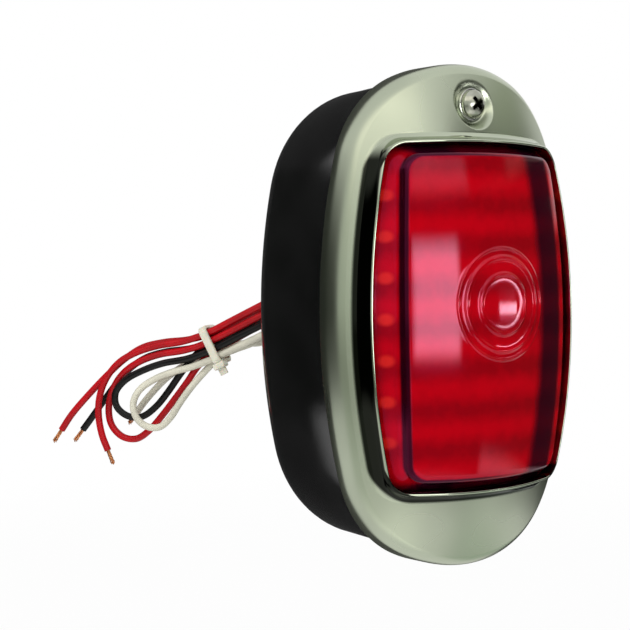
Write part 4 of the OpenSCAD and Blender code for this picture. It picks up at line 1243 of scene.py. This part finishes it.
def aim(obj, place_m, roll=0.0, pan=0.0):
    """Puts an object at a place and turns it to the middle of the stage, with a roll and a pan of its own."""
    obj.location = place_m
    turn = (STAGE_C - obj.location).normalized().to_track_quat("-Z", "Y")
    obj.rotation_mode = "QUATERNION"
    obj.rotation_quaternion = (turn @ Matrix.Rotation(roll, 3, "Z").to_quaternion()
                               @ Matrix.Rotation(pan, 3, "Y").to_quaternion())


class LAMP_OT_stage(bpy.types.Operator):
    """Sets the floor, the studio light and the camera"""

    bl_idname = "lamp.stage"
    bl_label = "Studio and camera"

    def execute(self, context):
        studio = context.scene.tail_lamp_studio
        self.world(studio.world_level)
        self.floor()
        for name, (offset, size, share) in LAMPS.items():
            self.light(name, around(*offset), size, studio.lamp_watts * share)
        for name, values in CARDS.items():
            self.card(name, *values)
        self.camera(studio)
        context.scene.view_settings.view_transform = "Standard"
        return {"FINISHED"}

    def world(self, level):
        """A white room, whose light has a level of its own."""
        world = bpy.data.worlds.new("studio")
        bpy.context.scene.world = world
        world.use_nodes = True
        tree = world.node_tree
        background = tree.nodes["Background"].inputs
        background["Color"].default_value = (1, 1, 1, 1)
        strength = add_node(tree, "MapRange", "Result", Value=seen_rays(tree), To_Min=level, To_Max=1.0)
        feed(tree, background["Strength"], strength)

    def floor(self):
        """A white floor that can't be told from the room, but for a soft shade near the lamp."""
        z = CAD_BOX[0][2] - FLOOR_DROP
        corners = [(x * FLOOR_HALF, y * FLOOR_HALF, z) for x, y in ((-1, -1), (1, -1), (1, 1), (-1, 1))]
        obj = mesh_object("floor", np.array(corners) / MM, [(0, 1, 2, 3)])
        made, tree, shader = new_material("floor_white")
        feed(tree, shader.inputs["Base Color"], (0.9, 0.9, 0.9, 1))
        feed(tree, shader.inputs["Roughness"], 0.8)
        far = add_node(tree, "VectorMath", "Value", {"operation": "LENGTH"},
                       Vector=add_node(tree, "TexCoord", "Object"))
        share = math_node(tree, "MULTIPLY_ADD", step_node(tree, far, 0.25, 0.9), 0.15, 0.85)
        glow = add_node(tree, "Emission", "Emission")
        mix_shaders(tree, times(tree, seen_rays(tree), share), shader.outputs["BSDF"], glow)
        obj.data.materials.append(made)
        obj.visible_glossy = False

    def light(self, name, offset, size, watts):
        """A large soft lamp that isn't seen in reflections."""
        data = bpy.data.lights.new(name, "AREA")
        data.shape = "RECTANGLE"
        data.size, data.size_y = size
        data.energy = watts
        obj = link_object(name, data)
        obj.visible_glossy = False
        aim(obj, STAGE_C + offset)

    def card(self, name, azimuth, elevation, distance, color, glow, soft):
        """A curved card seen only in reflections, with soft edges."""
        points = [around(a, e, distance) for e in np.linspace(*elevation, CARD_TILTS)
                  for a in np.linspace(*azimuth, CARD_TURNS)]
        faces = [(k, k + 1, k + 1 + CARD_TURNS, k + CARD_TURNS) for j in range(CARD_TILTS - 1)
                 for k in range(CARD_TURNS * j, CARD_TURNS * (j + 1) - 1)]
        obj = mesh_object(name, np.array(points) / MM, faces)
        obj.location = STAGE_C
        obj.visible_camera = obj.visible_shadow = obj.visible_diffuse = obj.visible_transmission = False
        made, tree, shader = new_material(name)
        tree.nodes.remove(shader)
        split = add_node(tree, "SeparateXYZ", Vector=add_node(tree, "TexCoord", "Object")).outputs
        turn = math_node(tree, "ARCTAN2", split["X"], times(tree, split["Y"], -1))
        tilt = math_node(tree, "ARCSINE", math_node(tree, "DIVIDE", split["Z"], distance))
        edges = []
        for angle, (low, high) in ((turn, azimuth), (tilt, elevation)):
            off = minus(tree, angle, math.radians((low + high) / 2))
            off = math_node(tree, "ABSOLUTE", math_node(tree, "WRAP", off, math.pi, -math.pi))
            half = math.radians((high - low) / 2)
            edges.append(step_node(tree, off, half, half - math.radians(soft)))
        clear = add_node(tree, "BsdfTransparent", "BSDF")
        light = add_node(tree, "Emission", "Emission", Color=(*color, 1), Strength=glow)
        mix_shaders(tree, times(tree, *edges), clear, light)
        obj.data.materials.append(made)

    def camera(self, studio):
        """The camera at the photo's angle."""
        data = bpy.data.cameras.new("camera")
        data.sensor_width = 36
        data.lens = studio.focal_mm
        obj = link_object("camera", data)
        aim(obj, CAMERA_C, studio.roll, studio.pan)
        bpy.context.scene.camera = obj


OPERATORS = (
    LAMP_OT_stage, LAMP_OT_wires, LAMP_OT_bezel, LAMP_OT_lens, LAMP_OT_housing, LAMP_OT_fixings,
    LAMP_OT_board,
)


class LAMP_PT_panel(bpy.types.Panel):
    """Lists the lamp's pieces and its settings"""

    bl_idname = "LAMP_PT_panel"
    bl_label = "Tail Lamp"
    bl_space_type = "VIEW_3D"
    bl_region_type = "UI"
    bl_category = "Tail Lamp"

    def draw(self, context):
        """Shows every setting, and a button for every operator."""
        for name, group in SETTINGS.items():
            for prop in group.__annotations__:
                self.layout.prop(getattr(context.scene, name), prop)
        for operator in OPERATORS:
            self.layout.operator(operator.bl_idname)


CLASSES = (*SETTINGS.values(), *OPERATORS, LAMP_PT_panel)


def register():
    """Registers the classes and the scene's settings."""
    for cls in CLASSES:
        bpy.utils.register_class(cls)
    for name, group in SETTINGS.items():
        setattr(bpy.types.Scene, name, PointerProperty(type=group))


def unregister():
    """Takes the settings and the classes out again."""
    for name in SETTINGS:
        delattr(bpy.types.Scene, name)
    for cls in reversed(CLASSES):
        bpy.utils.unregister_class(cls)


def main():
    """Builds the stage and every piece."""
    register()
    for operator in OPERATORS:
        group, name = operator.bl_idname.split(".")
        getattr(getattr(bpy.ops, group), name)()


if __name__ == "__main__":
    main()
